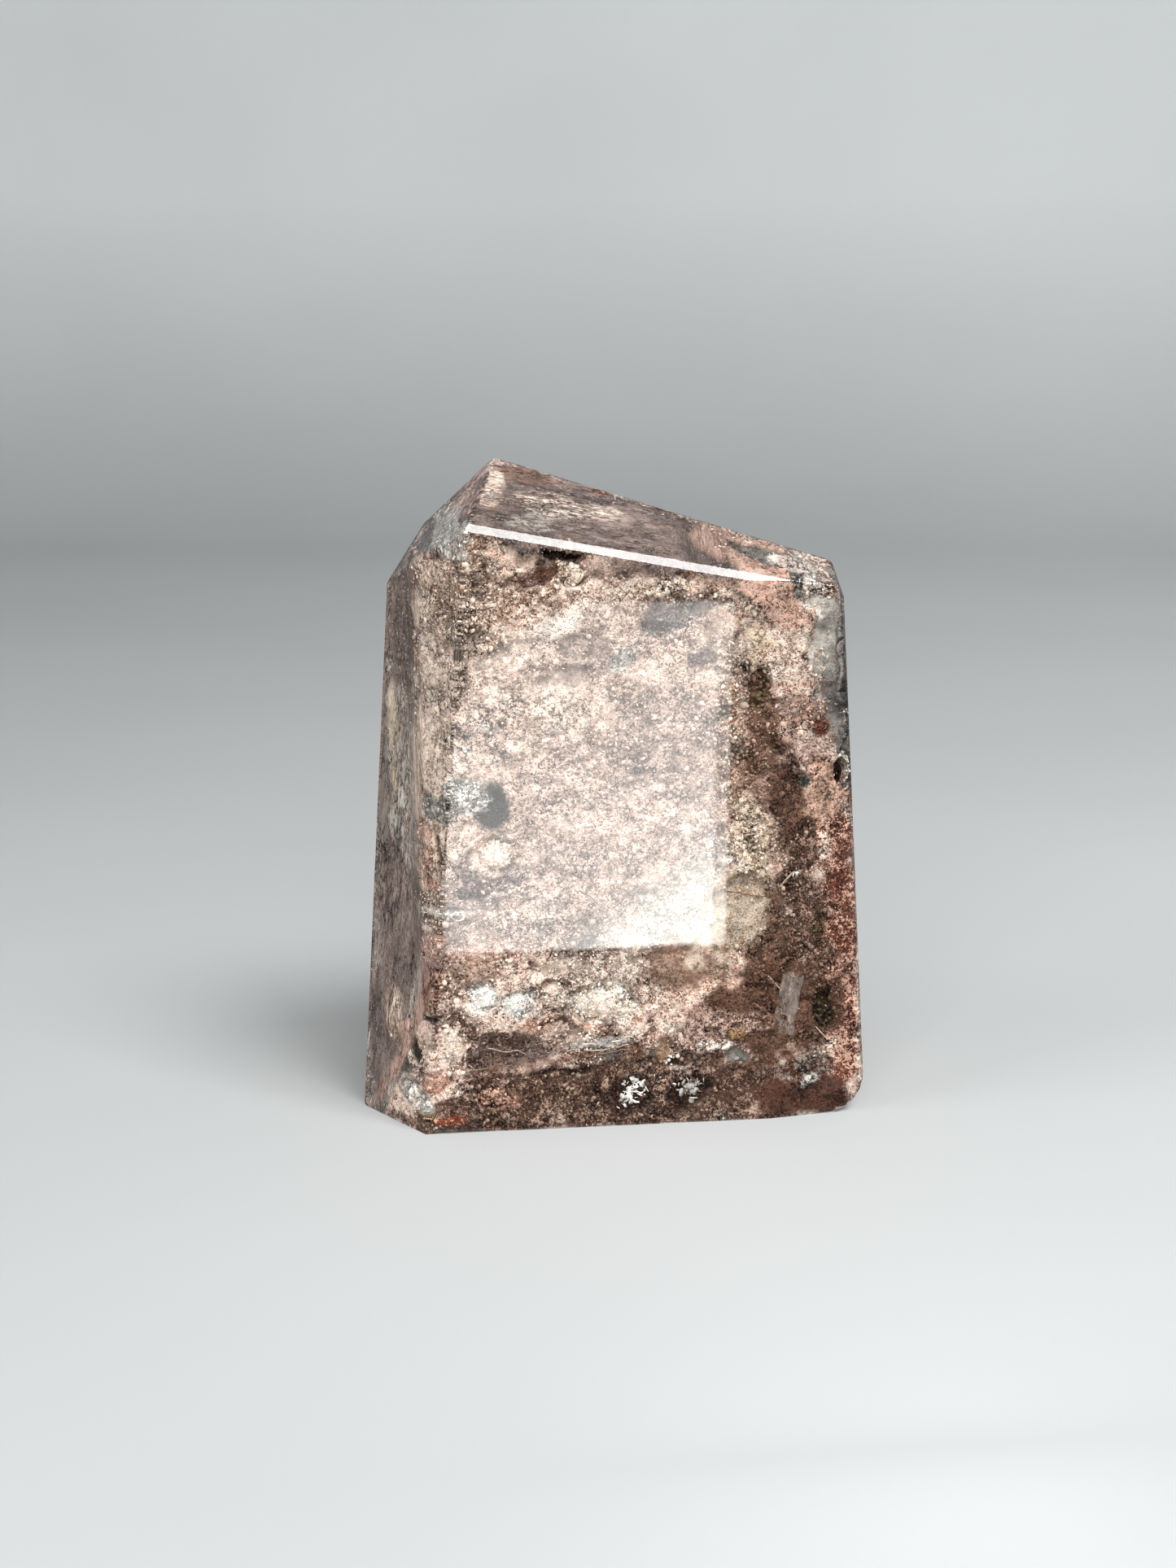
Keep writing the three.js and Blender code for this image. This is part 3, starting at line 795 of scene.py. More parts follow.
class InclusionField:
    """Where each mineral lies in the stone."""

    LEFT_FACET = np.array([-0.8613, -0.4973, 0.1045])
    UPPER_LEFT_FACET = np.array([-0.7286, -0.0637, 0.682])
    TOP_FACET = np.array([0.1617, -0.4325, 0.887])
    LEFT_LUMPS = 0.35
    CORNER_FOOT = -25.4
    CORNER_SLOPE = 0.335
    CORNER_TOP = 19.1
    GRAIN_END = 13.0
    UPRIGHT_END = -20.4
    UPRIGHT_TOP = 61.0

    def __init__(self, stone: Stone) -> None:
        """Keeps the stone, and picks the noise fields.

        Args:
            stone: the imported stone's shape.
        """
        self.stone = stone
        self.rims = LatticeNoise(3)
        self.swells = LatticeNoise(4)
        self.shake = tuple(LatticeNoise(seed) for seed in (5, 6, 7))
        self.crust = GrainCells(8)

    def sample(self, places: np.ndarray) -> BedSample:
        """Works out the bed at points of the stone's surface.

        Args:
            places: points in mm, one a row.

        Returns:
            The bed at those points.
        """
        count = len(places)
        facing = self.stone.facing(places)
        bed = BedSample(
            ground=np.tile(Mineral.SAND.light, (count, 1)),
            fleck=np.tile(Mineral.CREAM.light, (count, 1)),
            share=np.full(count, 0.45),
            depth=np.full(count, 1.0),
            lumps=np.full(count, 0.8),
            upright=(facing @ self.LEFT_FACET > 0.97).astype(float),
            level=(facing @ self.TOP_FACET > 0.97).astype(float),
        )
        bed.upright = np.maximum(bed.upright, facing @ self.UPPER_LEFT_FACET > 0.97)
        corner_line = self.CORNER_FOOT + self.CORNER_SLOPE * places[:, 2]
        bed.upright *= (places[:, 0] < corner_line) | (places[:, 2] > self.CORNER_TOP)
        bed.level *= smooth_step((self.GRAIN_END - places[:, 0]) / 6.0)
        ragged = self.rims.layered(places, 2.6, 5)
        for bedding in BEDDINGS:
            bed.lay(bedding.cover(places), bedding)
        front = smooth_step((facing @ self.stone.TOWARDS_VIEW) / 0.2)
        bed.upright *= smooth_step((self.UPRIGHT_END - places[:, 0]) / 1.6) + (places[:, 2] > self.UPRIGHT_TOP)
        bed.upright = np.minimum(bed.upright, 1.0)
        on_left = bed.upright > 0.5
        for zone in sorted(ZONES, key=lambda zone: zone.turn):
            cover = zone.cover(places[:, 0], places[:, 2], ragged) * front
            cover = cover * (on_left == (zone.lumps == self.LEFT_LUMPS))
            bed.lay(cover, zone.hollow() if zone.is_clump else zone)
        for window in WINDOWS:
            bed.lay(window.cover(places, ragged), window)
        return bed

    def relief(self, places: np.ndarray, lumps: np.ndarray) -> np.ndarray:
        """Height in mm of swells and crust over the bed's mean depth.

        Args:
            places: points in mm, one a row.
            lumps: how lumpy the bed is at each.

        Returns:
            One height a point, where more is nearer the polish.
        """
        shaken = places + 0.8 * np.stack(
            [field.layered(places, 2.3, 3) for field in self.shake], axis=1
        )
        domes = (
            0.9 * self.crust.domes(shaken, 3.1)
            + 0.6 * self.crust.domes(shaken + 5.1, 1.4)
            + 0.3 * self.crust.domes(shaken + 9.7, 0.7)
        )
        return 0.5 * self.swells.layered(places, 8.0, 4) + lumps * (domes - 0.6)


class Shader:
    """A material under construction, with short calls that add and join its nodes."""

    def __init__(self, name: str) -> None:
        """Starts an empty material.

        Args:
            name: the material's name.
        """
        self.material = bpy.data.materials.new(name)
        self.material.use_nodes = True
        self.nodes = self.material.node_tree.nodes
        self.links = self.material.node_tree.links
        self.nodes.clear()
        self.output = self.nodes.new("ShaderNodeOutputMaterial")

    def add(self, kind: str, **settings: object) -> bpy.types.Node:
        """Adds a node.

        Args:
            kind: the node's type without its ShaderNode prefix.
            settings: properties of the node to set.

        Returns:
            The new node.
        """
        node = self.nodes.new("ShaderNode" + kind)
        for name, value in settings.items():
            setattr(node, name, value)
        return node

    def feed(self, socket: bpy.types.NodeSocket, source: object) -> None:
        """Sets a socket to a plain value, or joins another node's output to it."""
        if isinstance(source, bpy.types.NodeSocket):
            self.links.new(source, socket)
        else:
            socket.default_value = source

    def principled(self, **inputs: object) -> bpy.types.Node:
        """Adds the Principled shader, with its sockets set by name, and makes it the surface."""
        shader = self.add("BsdfPrincipled")
        for name, source in inputs.items():
            self.feed(shader.inputs[name.replace("_", " ")], source)
        self.links.new(shader.outputs[0], self.output.inputs["Surface"])
        return shader

    def math(self, operation: str, *terms: object) -> bpy.types.NodeSocket:
        """Result of a Math node on those terms."""
        node = self.add("Math", operation=operation)
        for socket, term in zip(node.inputs, terms):
            self.feed(socket, term)
        return node.outputs[0]

    def spread(self, source: object, low: float, high: float, to_low: float, to_high: float) -> bpy.types.NodeSocket:
        """Maps source from low..high to to_low..to_high, held at the ends."""
        node = self.add("MapRange")
        for socket, term in zip(node.inputs, (source, low, high, to_low, to_high)):
            self.feed(socket, term)
        return node.outputs[0]

    def blend(self, factor: object, first: object, second: object, how: str = "MIX") -> bpy.types.NodeSocket:
        """Mixes two colours."""
        node = self.add("Mix", data_type="RGBA", blend_type=how)
        self.feed(node.inputs[0], factor)
        self.feed(node.inputs[6], first)
        self.feed(node.inputs[7], second)
        return node.outputs[2]

    def attribute(self, name: str) -> bpy.types.Node:
        """The node that reads a vertex attribute."""
        return self.add("Attribute", attribute_name=name)


@dataclass(frozen=True)
class ClearQuartzFinish:
    """Clear quartz with a faint smoky tint and a hand polish.

    Attributes:
        ior: refractive index of quartz.
        roughness: how far the polish is from a mirror.
        tint: colour that passes best.
        tint_density: strength of the tint for a metre of quartz.
    """

    ior: float = 1.544
    roughness: float = 0.0
    tint: tuple[float, float, float, float] = (0.86, 0.82, 0.76, 1.0)
    tint_density: float = 14.0

    def material(self) -> bpy.types.Material:
        """Makes the material."""
        shader = Shader("clear_quartz")
        place = shader.add("TexCoord").outputs["Object"]
        ripple = shader.add("TexNoise")
        shader.feed(ripple.inputs["Vector"], place)
        shader.feed(ripple.inputs["Scale"], 260.0)
        shader.feed(ripple.inputs["Detail"], 3.0)
        bump = shader.add("Bump")
        shader.feed(bump.inputs["Height"], ripple.outputs[0])
        shader.feed(bump.inputs["Strength"], 0.015)
        shader.feed(bump.inputs["Distance"], 0.0004)
        shader.principled(
            Base_Color=(1.0, 1.0, 1.0, 1.0),
            Roughness=self.roughness,
            IOR=self.ior,
            Transmission_Weight=1.0,
            Normal=bump.outputs[0],
        )
        smoke = shader.add("VolumeAbsorption")
        shader.feed(smoke.inputs["Color"], self.tint)
        shader.feed(smoke.inputs["Density"], self.tint_density)
        shader.links.new(smoke.outputs[0], shader.output.inputs["Volume"])
        return shader.material


@dataclass(frozen=True)
class BedFinish:
    """Crumbly mineral crust: pale crumbs, painted shade in the pits between them, in streaks under some facets.

    Attributes:
        crumbs_per_metre: how many crumbs lie side by side in a metre.
        specks_per_metre: the same for the smaller crumbs on them.
        grit_per_metre: the same for the finest grit.
        stretch: how much longer than a crumb a streak is.
        thin: how much thinner than a crumb it is.
        brow_slope: slope in degrees of the streaks along the brow.
        pit_shade: what is left of each colour in a pit.
    """

    crumbs_per_metre: float = 820.0
    specks_per_metre: float = 2700.0
    grit_per_metre: float = 6500.0
    stretch: float = 2.2
    thin: float = 0.55
    brow_slope: float = 10.0
    pit_shade: tuple[float, float, float, float] = (0.4, 0.3, 0.24, 1.0)

    def noise(self, shader: Shader, place: object, per_metre: float, detail: float) -> bpy.types.Node:
        """Adds a cloudy pattern.

        Args:
            shader: the material under construction.
            place: the coordinates to read.
            per_metre: how many swells lie side by side in a metre.
            detail: how many finer layers it has.

        Returns:
            The noise node.
        """
        node = shader.add("TexNoise")
        shader.feed(node.inputs["Vector"], place)
        shader.feed(node.inputs["Scale"], per_metre)
        shader.feed(node.inputs["Detail"], detail)
        shader.feed(node.inputs["Roughness"], 0.6)
        return node

    def shaken(self, shader: Shader, place: object, per_metre: float, far: float) -> bpy.types.NodeSocket:
        """Coordinates shaken by a cloudy pattern, so that what reads them is uneven.

        Args:
            shader: the material under construction.
            place: the coordinates to shake.
            per_metre: how many swells of the shaking lie side by side in a metre.
            far: how far it shakes them, in metres.

        Returns:
            The shaken coordinates.
        """
        cloud = self.noise(shader, place, per_metre, 2.0)
        step = shader.add("VectorMath", operation="SCALE")
        shader.feed(step.inputs[0], cloud.outputs["Color"])
        shader.feed(step.inputs["Scale"], 2.0 * far)
        moved = shader.add("VectorMath", operation="ADD")
        shader.feed(moved.inputs[0], place)
        shader.feed(moved.inputs[1], step.outputs[0])
        return moved.outputs[0]

    def grain_place(self, shader: Shader, upright: object, along_brow: object) -> bpy.types.NodeSocket:
        """Object coordinates, stretched where the grain runs upright or along the brow."""
        place = shader.add("TexCoord").outputs["Object"]
        chosen = place
        for share, turn, scale in (
            (upright, (0.0, 0.0, 0.0), (self.thin, self.thin, self.stretch)),
            (along_brow, (0.0, math.radians(self.brow_slope), 0.0), (self.stretch, self.thin, self.thin)),
        ):
            mapping = shader.add("Mapping", vector_type="TEXTURE")
            shader.feed(mapping.inputs["Vector"], place)
            shader.feed(mapping.inputs["Rotation"], turn)
            shader.feed(mapping.inputs["Scale"], scale)
            mixed = shader.add("Mix", data_type="VECTOR")
            shader.feed(mixed.inputs[0], share)
            shader.feed(mixed.inputs[4], chosen)
            shader.feed(mixed.inputs[5], mapping.outputs[0])
            chosen = mixed.outputs[1]
        return chosen

    def darkened(self, shader: Shader, bright: object, part: object, share: object) -> bpy.types.NodeSocket:
        """Brightness with a part of it taken away where share is 1."""
        left = shader.math("SUBTRACT", 1.0, shader.math("MULTIPLY", part, share))
        return shader.math("MULTIPLY", bright, left)

    def material(self) -> bpy.types.Material:
        """Makes the material."""
        shader = Shader("sandy_bed")
        ground, fleck = shader.attribute("ground"), shader.attribute("fleck")
        along_brow = shader.attribute("along_brow").outputs["Fac"]
        place = self.grain_place(shader, fleck.outputs["Alpha"], along_brow)

        crumbs = shader.add("TexVoronoi", feature="F1")
        ragged = self.shaken(shader, self.shaken(shader, place, 700.0, 0.0012), 2600.0, 0.0004)
        shader.feed(crumbs.inputs["Vector"], ragged)
        shader.feed(crumbs.inputs["Scale"], self.crumbs_per_metre)
        specks = shader.add("TexVoronoi", feature="F1")
        shader.feed(specks.inputs["Vector"], self.shaken(shader, place, 2200.0, 0.0005))
        shader.feed(specks.inputs["Scale"], self.specks_per_metre)
        grit = self.noise(shader, place, self.grit_per_metre, 3.0)
        drift = self.noise(shader, place, 330.0, 4.0)

        height = shader.math("MULTIPLY", crumbs.outputs["Distance"], -0.3)
        height = shader.math("ADD", height, shader.math("MULTIPLY", specks.outputs["Distance"], 0.5))
        height = shader.math("ADD", height, shader.math("MULTIPLY", grit.outputs[0], 0.85))
        height = shader.math("ADD", height, shader.math("MULTIPLY", drift.outputs[0], 0.45))
        # about 0 in the pits and 1 on top of the crumbs
        height = shader.spread(height, 0.48, 1.0, 0.0, 1.0)
        patches = shader.spread(self.noise(shader, place, 220.0, 3.0).outputs[0], 0.35, 0.6, 0.55, 1.2)
        crumbly = shader.math("MULTIPLY", shader.attribute("crumbly").outputs["Fac"], patches)
        height = shader.math("ADD", shader.math("MULTIPLY", shader.math("SUBTRACT", height, 0.5), crumbly), 0.5)

        share = ground.outputs["Alpha"]
        threshold = shader.spread(share, 0.0, 1.0, 0.9, 0.1)
        over = shader.math("SUBTRACT", height, threshold)
        picks_fleck = shader.spread(over, -0.05, 0.05, 0.0, 1.0)
        # painted shade: the low parts of the crumbs' relief take the darkened pit colour
        open_pit = shader.spread(height, 0.2, 0.4, 0.0, 1.0)
        pit = shader.blend(1.0, ground.outputs["Color"], self.pit_shade, "MULTIPLY")
        colour = shader.blend(open_pit, pit, ground.outputs["Color"])
        colour = shader.blend(picks_fleck, colour, fleck.outputs["Color"])

        parts = shader.add("SeparateColor")
        shader.feed(parts.inputs[0], specks.outputs["Color"])
        warmth = shader.blend(parts.outputs[0], (1.05, 0.97, 0.93, 1.0), (0.95, 1.0, 1.03, 1.0))
        colour = shader.blend(1.0, colour, warmth, "MULTIPLY")
        crumb_parts = shader.add("SeparateColor")
        shader.feed(crumb_parts.inputs[0], crumbs.outputs["Color"])
        bright = shader.math(
            "MULTIPLY",
            shader.spread(parts.outputs[1], 0.0, 0.5, 0.66, 1.06),
            shader.spread(crumb_parts.outputs[0], 0.0, 1.0, 0.76, 1.2),
        )
        uneven = shader.math("SUBTRACT", grit.outputs[0], 0.5)
        pore = shader.math("ADD", specks.outputs["Distance"], shader.math("MULTIPLY", uneven, 0.5))
        some = shader.spread(parts.outputs[0], 0.4, 0.5, 1.0, 0.0)
        bright = self.darkened(shader, bright, shader.spread(pore, 0.16, 0.36, 0.82, 0.0), some)
        # painted shade: in patches, the seams between crumbs are darkened
        seams = shader.add("TexVoronoi", feature="DISTANCE_TO_EDGE")
        shader.feed(seams.inputs["Vector"], ragged)
        shader.feed(seams.inputs["Scale"], self.crumbs_per_metre)
        seam = shader.math("ADD", seams.outputs["Distance"], shader.math("MULTIPLY", uneven, 0.12))
        here = shader.spread(drift.outputs[0], 0.44, 0.56, 0.0, 1.0)
        bright = self.darkened(shader, bright, shader.spread(seam, 0.01, 0.11, 0.85, 0.0), here)
        # smooth pockets have no crumbs to tell apart
        even = shader.math("ADD", shader.math("MULTIPLY", shader.math("SUBTRACT", bright, 1.0), crumbly), 1.0)
        colour = shader.blend(1.0, colour, even, "MULTIPLY")

        bump = shader.add("Bump")
        shader.feed(bump.inputs["Height"], height)
        shader.feed(bump.inputs["Strength"], 0.8)
        shader.feed(bump.inputs["Distance"], 0.00035)
        shader.principled(
            Base_Color=colour,
            Roughness=shader.spread(parts.outputs[2], 0.0, 1.0, 0.4, 0.95),
            Specular_IOR_Level=0.25,
            Normal=bump.outputs[0],
        )
        return shader.material


@dataclass(frozen=True)
class GrainFinish:
    """Loose mineral grains, each with the colour stored on it.

    Attributes:
        name: the material's name.
        roughness: how dull the grains are.
    """

    name: str
    roughness: float

    def material(self) -> bpy.types.Material:
        """Makes the material."""
        shader = Shader(self.name)
        place = shader.add("TexCoord").outputs["Object"]
        cloud = shader.add("TexNoise")
        shader.feed(cloud.inputs["Vector"], place)
        shader.feed(cloud.inputs["Scale"], 5200.0)
        shade = shader.spread(cloud.outputs[0], 0.3, 0.7, 0.8, 1.15)
        colour = shader.blend(1.0, shader.attribute("ground").outputs["Color"], shade, "MULTIPLY")
        shader.principled(Base_Color=colour, Roughness=self.roughness)
        return shader.material


@dataclass
class ClearQuartz:
    """The polished quartz itself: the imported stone's shape, clear.

    Attributes:
        stone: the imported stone's shape.
        finish: the quartz's finish.
    """

    stone: Stone
    finish: ClearQuartzFinish = ClearQuartzFinish()

    def build(self) -> bpy.types.Object:
        """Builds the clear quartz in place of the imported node."""
        shape = self.stone.merged()
        mesh = bpy.data.meshes.new("quartz_point")
        shape.to_mesh(mesh)
        shape.free()
        mesh.shade_smooth()
        quartz = mesh_object("quartz_point", mesh)
        crisp = quartz.modifiers.new("crisp facets", "WEIGHTED_NORMAL")
        crisp.keep_sharp = True
        crisp.weight = 100
        quartz.visible_shadow = False
        quartz.visible_diffuse = False
        settle(quartz, self.finish.material())
        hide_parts(STONE_NODE)
        return quartz


@dataclass
class InclusionBed:
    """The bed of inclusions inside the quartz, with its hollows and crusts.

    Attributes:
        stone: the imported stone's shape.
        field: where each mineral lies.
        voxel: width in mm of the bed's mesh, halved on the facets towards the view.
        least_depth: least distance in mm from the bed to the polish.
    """

    stone: Stone
    field: InclusionField
    voxel: float = 0.54
    least_depth: float = 0.32

    def even_mesh(self) -> bpy.types.Mesh:
        """An even mesh over the whole stone, finer on the facets towards the view."""
        shape = self.stone.merged()
        mesh = bpy.data.meshes.new("even")
        shape.to_mesh(mesh)
        shape.free()
        source = mesh_object("even", mesh)
        remesh = source.modifiers.new("even", "REMESH")
        remesh.mode = "VOXEL"
        remesh.voxel_size = self.voxel * MM
        graph = bpy.context.evaluated_depsgraph_get()
        even = bpy.data.meshes.new_from_object(source.evaluated_get(graph))
        bpy.data.objects.remove(source)

        places = vertex_places(even)
        near = (self.stone.facing(places) @ self.stone.TOWARDS_VIEW) > 0.1
        shape = bmesh.new()
        shape.from_mesh(even)
        shape.verts.ensure_lookup_table()
        cut = [
            edge
            for edge in shape.edges
            if near[edge.verts[0].index] and near[edge.verts[1].index]
        ]
        bmesh.ops.subdivide_edges(shape, edges=cut, cuts=1, use_grid_fill=True)
        shape.to_mesh(even)
        shape.free()
        return even

    def build(self) -> bpy.types.Object:
        """Builds the bed and stores its colours."""
        mesh = self.even_mesh()
        surface = vertex_places(mesh)
        self.sample = self.field.sample(surface)
        height = self.field.relief(surface, self.sample.lumps)
        # painted shade and light: the bed's colours darker in the hollows of its relief and lighter on its swells
        shade = np.clip(1.0 + 0.75 * height, 0.25, 1.35)[:, None]
        self.sample.ground *= shade
        self.sample.fleck *= 0.35 + 0.65 * shade
        depth = np.maximum(self.sample.depth - height, self.least_depth)
        self.places = self.stone.sunk(surface, depth)
        self.facing = self.stone.facing(surface)
        move_vertices(mesh, self.places)
        mesh.shade_smooth()
        paint(mesh, "ground", np.column_stack([self.sample.ground, self.sample.share]))
        paint(mesh, "fleck", np.column_stack([self.sample.fleck, self.sample.upright]))
        level = mesh.attributes.new("along_brow", "FLOAT", "POINT")
        level.data.foreach_set("value", self.sample.level.astype(np.float32))
        crumbly = mesh.attributes.new("crumbly", "FLOAT", "POINT")
        crumbly.data.foreach_set("value", self.sample.crumbly.astype(np.float32))
        bed = mesh_object("inclusion_bed", mesh)
        self.finish = BedFinish().material()
        return settle(bed, self.finish)


@dataclass
class CrustClumps:
    """Clumps of crust that stand out of the bed, where a zone is lumpy enough.

    Attributes:
        bed: the built bed.
        cover: least distance in mm from a clump to the polish.
        thickness: a clump's thickness as a share of its smaller half size.
    """

    bed: InclusionBed
    cover: float = 0.45
    thickness: float = 0.6

    def clump(self, zone: Zone) -> tuple[bmesh.types.BMesh, np.ndarray]:
        """Shapes one clump.

        Args:
            zone: the zone it stands in.

        Returns:
            The clump in metres, for the caller to free, and how light each of its vertices is painted: darker in its
            creases as painted shade, lighter on its knobs as painted light.
        """
        stone, field = self.bed.stone, self.bed.field
        wide, tall = zone.wide * 0.92, zone.tall * 0.92
        thick = self.thickness * min(wide, tall)
        front = stone.front_at(zone.across, zone.up)
        inwards = -stone.facing(front[None, :])[0]
        middle = front + inwards * (self.cover + thick)
        shape = bmesh.new()
        bmesh.ops.create_icosphere(shape, subdivisions=4, radius=1.0)
        turn = Matrix.Rotation(math.radians(zone.tilt), 3, "Y")
        bmesh.ops.scale(shape, verts=shape.verts, vec=(wide, thick, tall))
        bmesh.ops.rotate(shape, verts=shape.verts, matrix=turn)
        bmesh.ops.translate(shape, verts=shape.verts, vec=middle)
        places = np.array([vert.co[:] for vert in shape.verts])
        shaken = places + 0.3 * np.stack([n.layered(places, 1.1, 2) for n in field.shake], axis=1)
        knobs = (
            0.5 * field.crust.domes(shaken, 1.3)
            + 0.35 * field.crust.domes(shaken + 3.3, 0.65)
            + 0.2 * field.crust.domes(shaken + 6.1, 0.36)
        )
        pull = 1.12 - 0.42 * (1.0 - np.clip(knobs / 0.85, 0.0, 1.0))
        pull *= 1.0 + 0.3 * field.rims.layered(places, 1.6, 4)
        pull = np.minimum(pull, 1.0)
        places = middle + (places - middle) * pull[:, None]
        for vert, place in zip(shape.verts, places):
            vert.co = place * MM
        # painted shade in the creases where the clump is pulled in, and painted light on its knobs
        return shape, np.clip(1.6 * pull - 0.25, 0.5, 1.4)

    def build(self) -> list[tuple[Zone, np.ndarray]]:
        """Builds all clumps as one piece, and gives each one's zone and points in mm."""
        joined = bpy.data.meshes.new("crust_clumps")
        whole = bmesh.new()
        colours, flecks, clumps = [], [], []
        for zone in ZONES:
            if not zone.is_clump:
                continue
            # shade: the painted shade and light of each vertex
            shape, shade = self.clump(zone)
            part = bpy.data.meshes.new("clump")
            shape.to_mesh(part)
            shape.free()
            whole.from_mesh(part)
            places = vertex_places(part)
            shade, count = shade[:, None], len(places)
            clumps.append((zone, places))
            colours.append(np.column_stack([np.array(zone.ground.light) * shade, np.full(count, zone.share)]))
            flecks.append(np.column_stack([np.array(zone.fleck.light) * shade, np.zeros(count)]))
            bpy.data.meshes.remove(part)
        whole.to_mesh(joined)
        whole.free()
        joined.shade_smooth()
        paint(joined, "ground", np.concatenate(colours))
        paint(joined, "fleck", np.concatenate(flecks))
        crumbly = joined.attributes.new("crumbly", "FLOAT", "POINT")
        crumbly.data.foreach_set("value", np.full(len(joined.vertices), 0.8, np.float32))
        settle(mesh_object("crust_clumps", joined), self.bed.finish)
        return clumps


def random_turns(draw: np.random.Generator, count: int) -> np.ndarray:
    """Evenly random rotation matrices, one a grain."""
    quaternion = draw.normal(size=(count, 4))
    quaternion /= np.linalg.norm(quaternion, axis=1)[:, None]
    w, x, y, z = quaternion.T
    return np.stack(
        [
            np.stack([1 - 2 * (y * y + z * z), 2 * (x * y - z * w), 2 * (x * z + y * w)], 1),
            np.stack([2 * (x * y + z * w), 1 - 2 * (x * x + z * z), 2 * (y * z - x * w)], 1),
            np.stack([2 * (x * z - y * w), 2 * (y * z + x * w), 1 - 2 * (x * x + y * y)], 1),
        ],
        axis=1,
    )


class Template:
    """A small closed shape of triangles that is strewn many times."""

    def __init__(self, shape: bmesh.types.BMesh) -> None:
        """Takes the shape's points and triangles, and frees it.

        Args:
            shape: the shape, about 1 in radius.
        """
        bmesh.ops.triangulate(shape, faces=shape.faces)
        bmesh.ops.recalc_face_normals(shape, faces=shape.faces)
        self.points = np.array([vert.co[:] for vert in shape.verts])
        self.faces = np.array([[vert.index for vert in face.verts] for face in shape.faces])
        shape.free()

    @classmethod
    def grain(cls) -> Template:
        """A grain: two four-sided pyramids, base to base."""
        shape = bmesh.new()
        bmesh.ops.create_cube(shape, size=1.0)
        tips = [Vector(axis) for axis in ((1, 0, 0), (-1, 0, 0), (0, 1, 0), (0, -1, 0), (0, 0, 1), (0, 0, -1))]
        shape.clear()
        for tip in tips:
            shape.verts.new(tip)
        bmesh.ops.convex_hull(shape, input=shape.verts)
        shape.verts.index_update()
        return cls(shape)

    @classmethod
    def crumb(cls) -> Template:
        """A crumb: a ball of twenty faces."""
        shape = bmesh.new()
        bmesh.ops.create_icosphere(shape, subdivisions=1, radius=1.0)
        shape.verts.index_update()
        return cls(shape)

    @classmethod
    def plate(cls) -> Template:
        """A flake: a thin six-sided plate."""
        shape = bmesh.new()
        bmesh.ops.create_cone(shape, cap_ends=True, segments=6, radius1=1.0, radius2=0.9, depth=0.14)
        shape.verts.index_update()
        return cls(shape)

    def strewn(self, name: str, places: np.ndarray, turns: np.ndarray, sizes: np.ndarray, colours: np.ndarray) -> bpy.types.Object:
        """Joins many copies of the shape into one mesh.

        Args:
            name: the object's name.
            places: middles in mm, one a row.
            turns: one rotation matrix a copy.
            sizes: three half sizes in mm a copy.
            colours: one linear colour a copy.

        Returns:
            The object.
        """
        count, corners = len(places), len(self.points)
        scaled = sizes[:, None, :] * self.points[None, :, :]
        points = np.einsum("nij,nkj->nki", turns, scaled) + places[:, None, :]
        faces = (np.arange(count) * corners)[:, None, None] + self.faces[None, :, :]
        mesh = bpy.data.meshes.new(name)
        mesh.vertices.add(count * corners)
        mesh.loops.add(faces.size)
        mesh.polygons.add(faces.size // 3)
        mesh.polygons.foreach_set("loop_start", np.arange(0, faces.size, 3, dtype=np.int32))
        mesh.loops.foreach_set("vertex_index", faces.astype(np.int32).ravel())
        mesh.update(calc_edges=True)
        move_vertices(mesh, points.reshape(-1, 3))
        solid = np.column_stack([colours, np.ones(count)])
        paint(mesh, "ground", np.repeat(solid, corners, axis=0))
        return mesh_object(name, mesh)


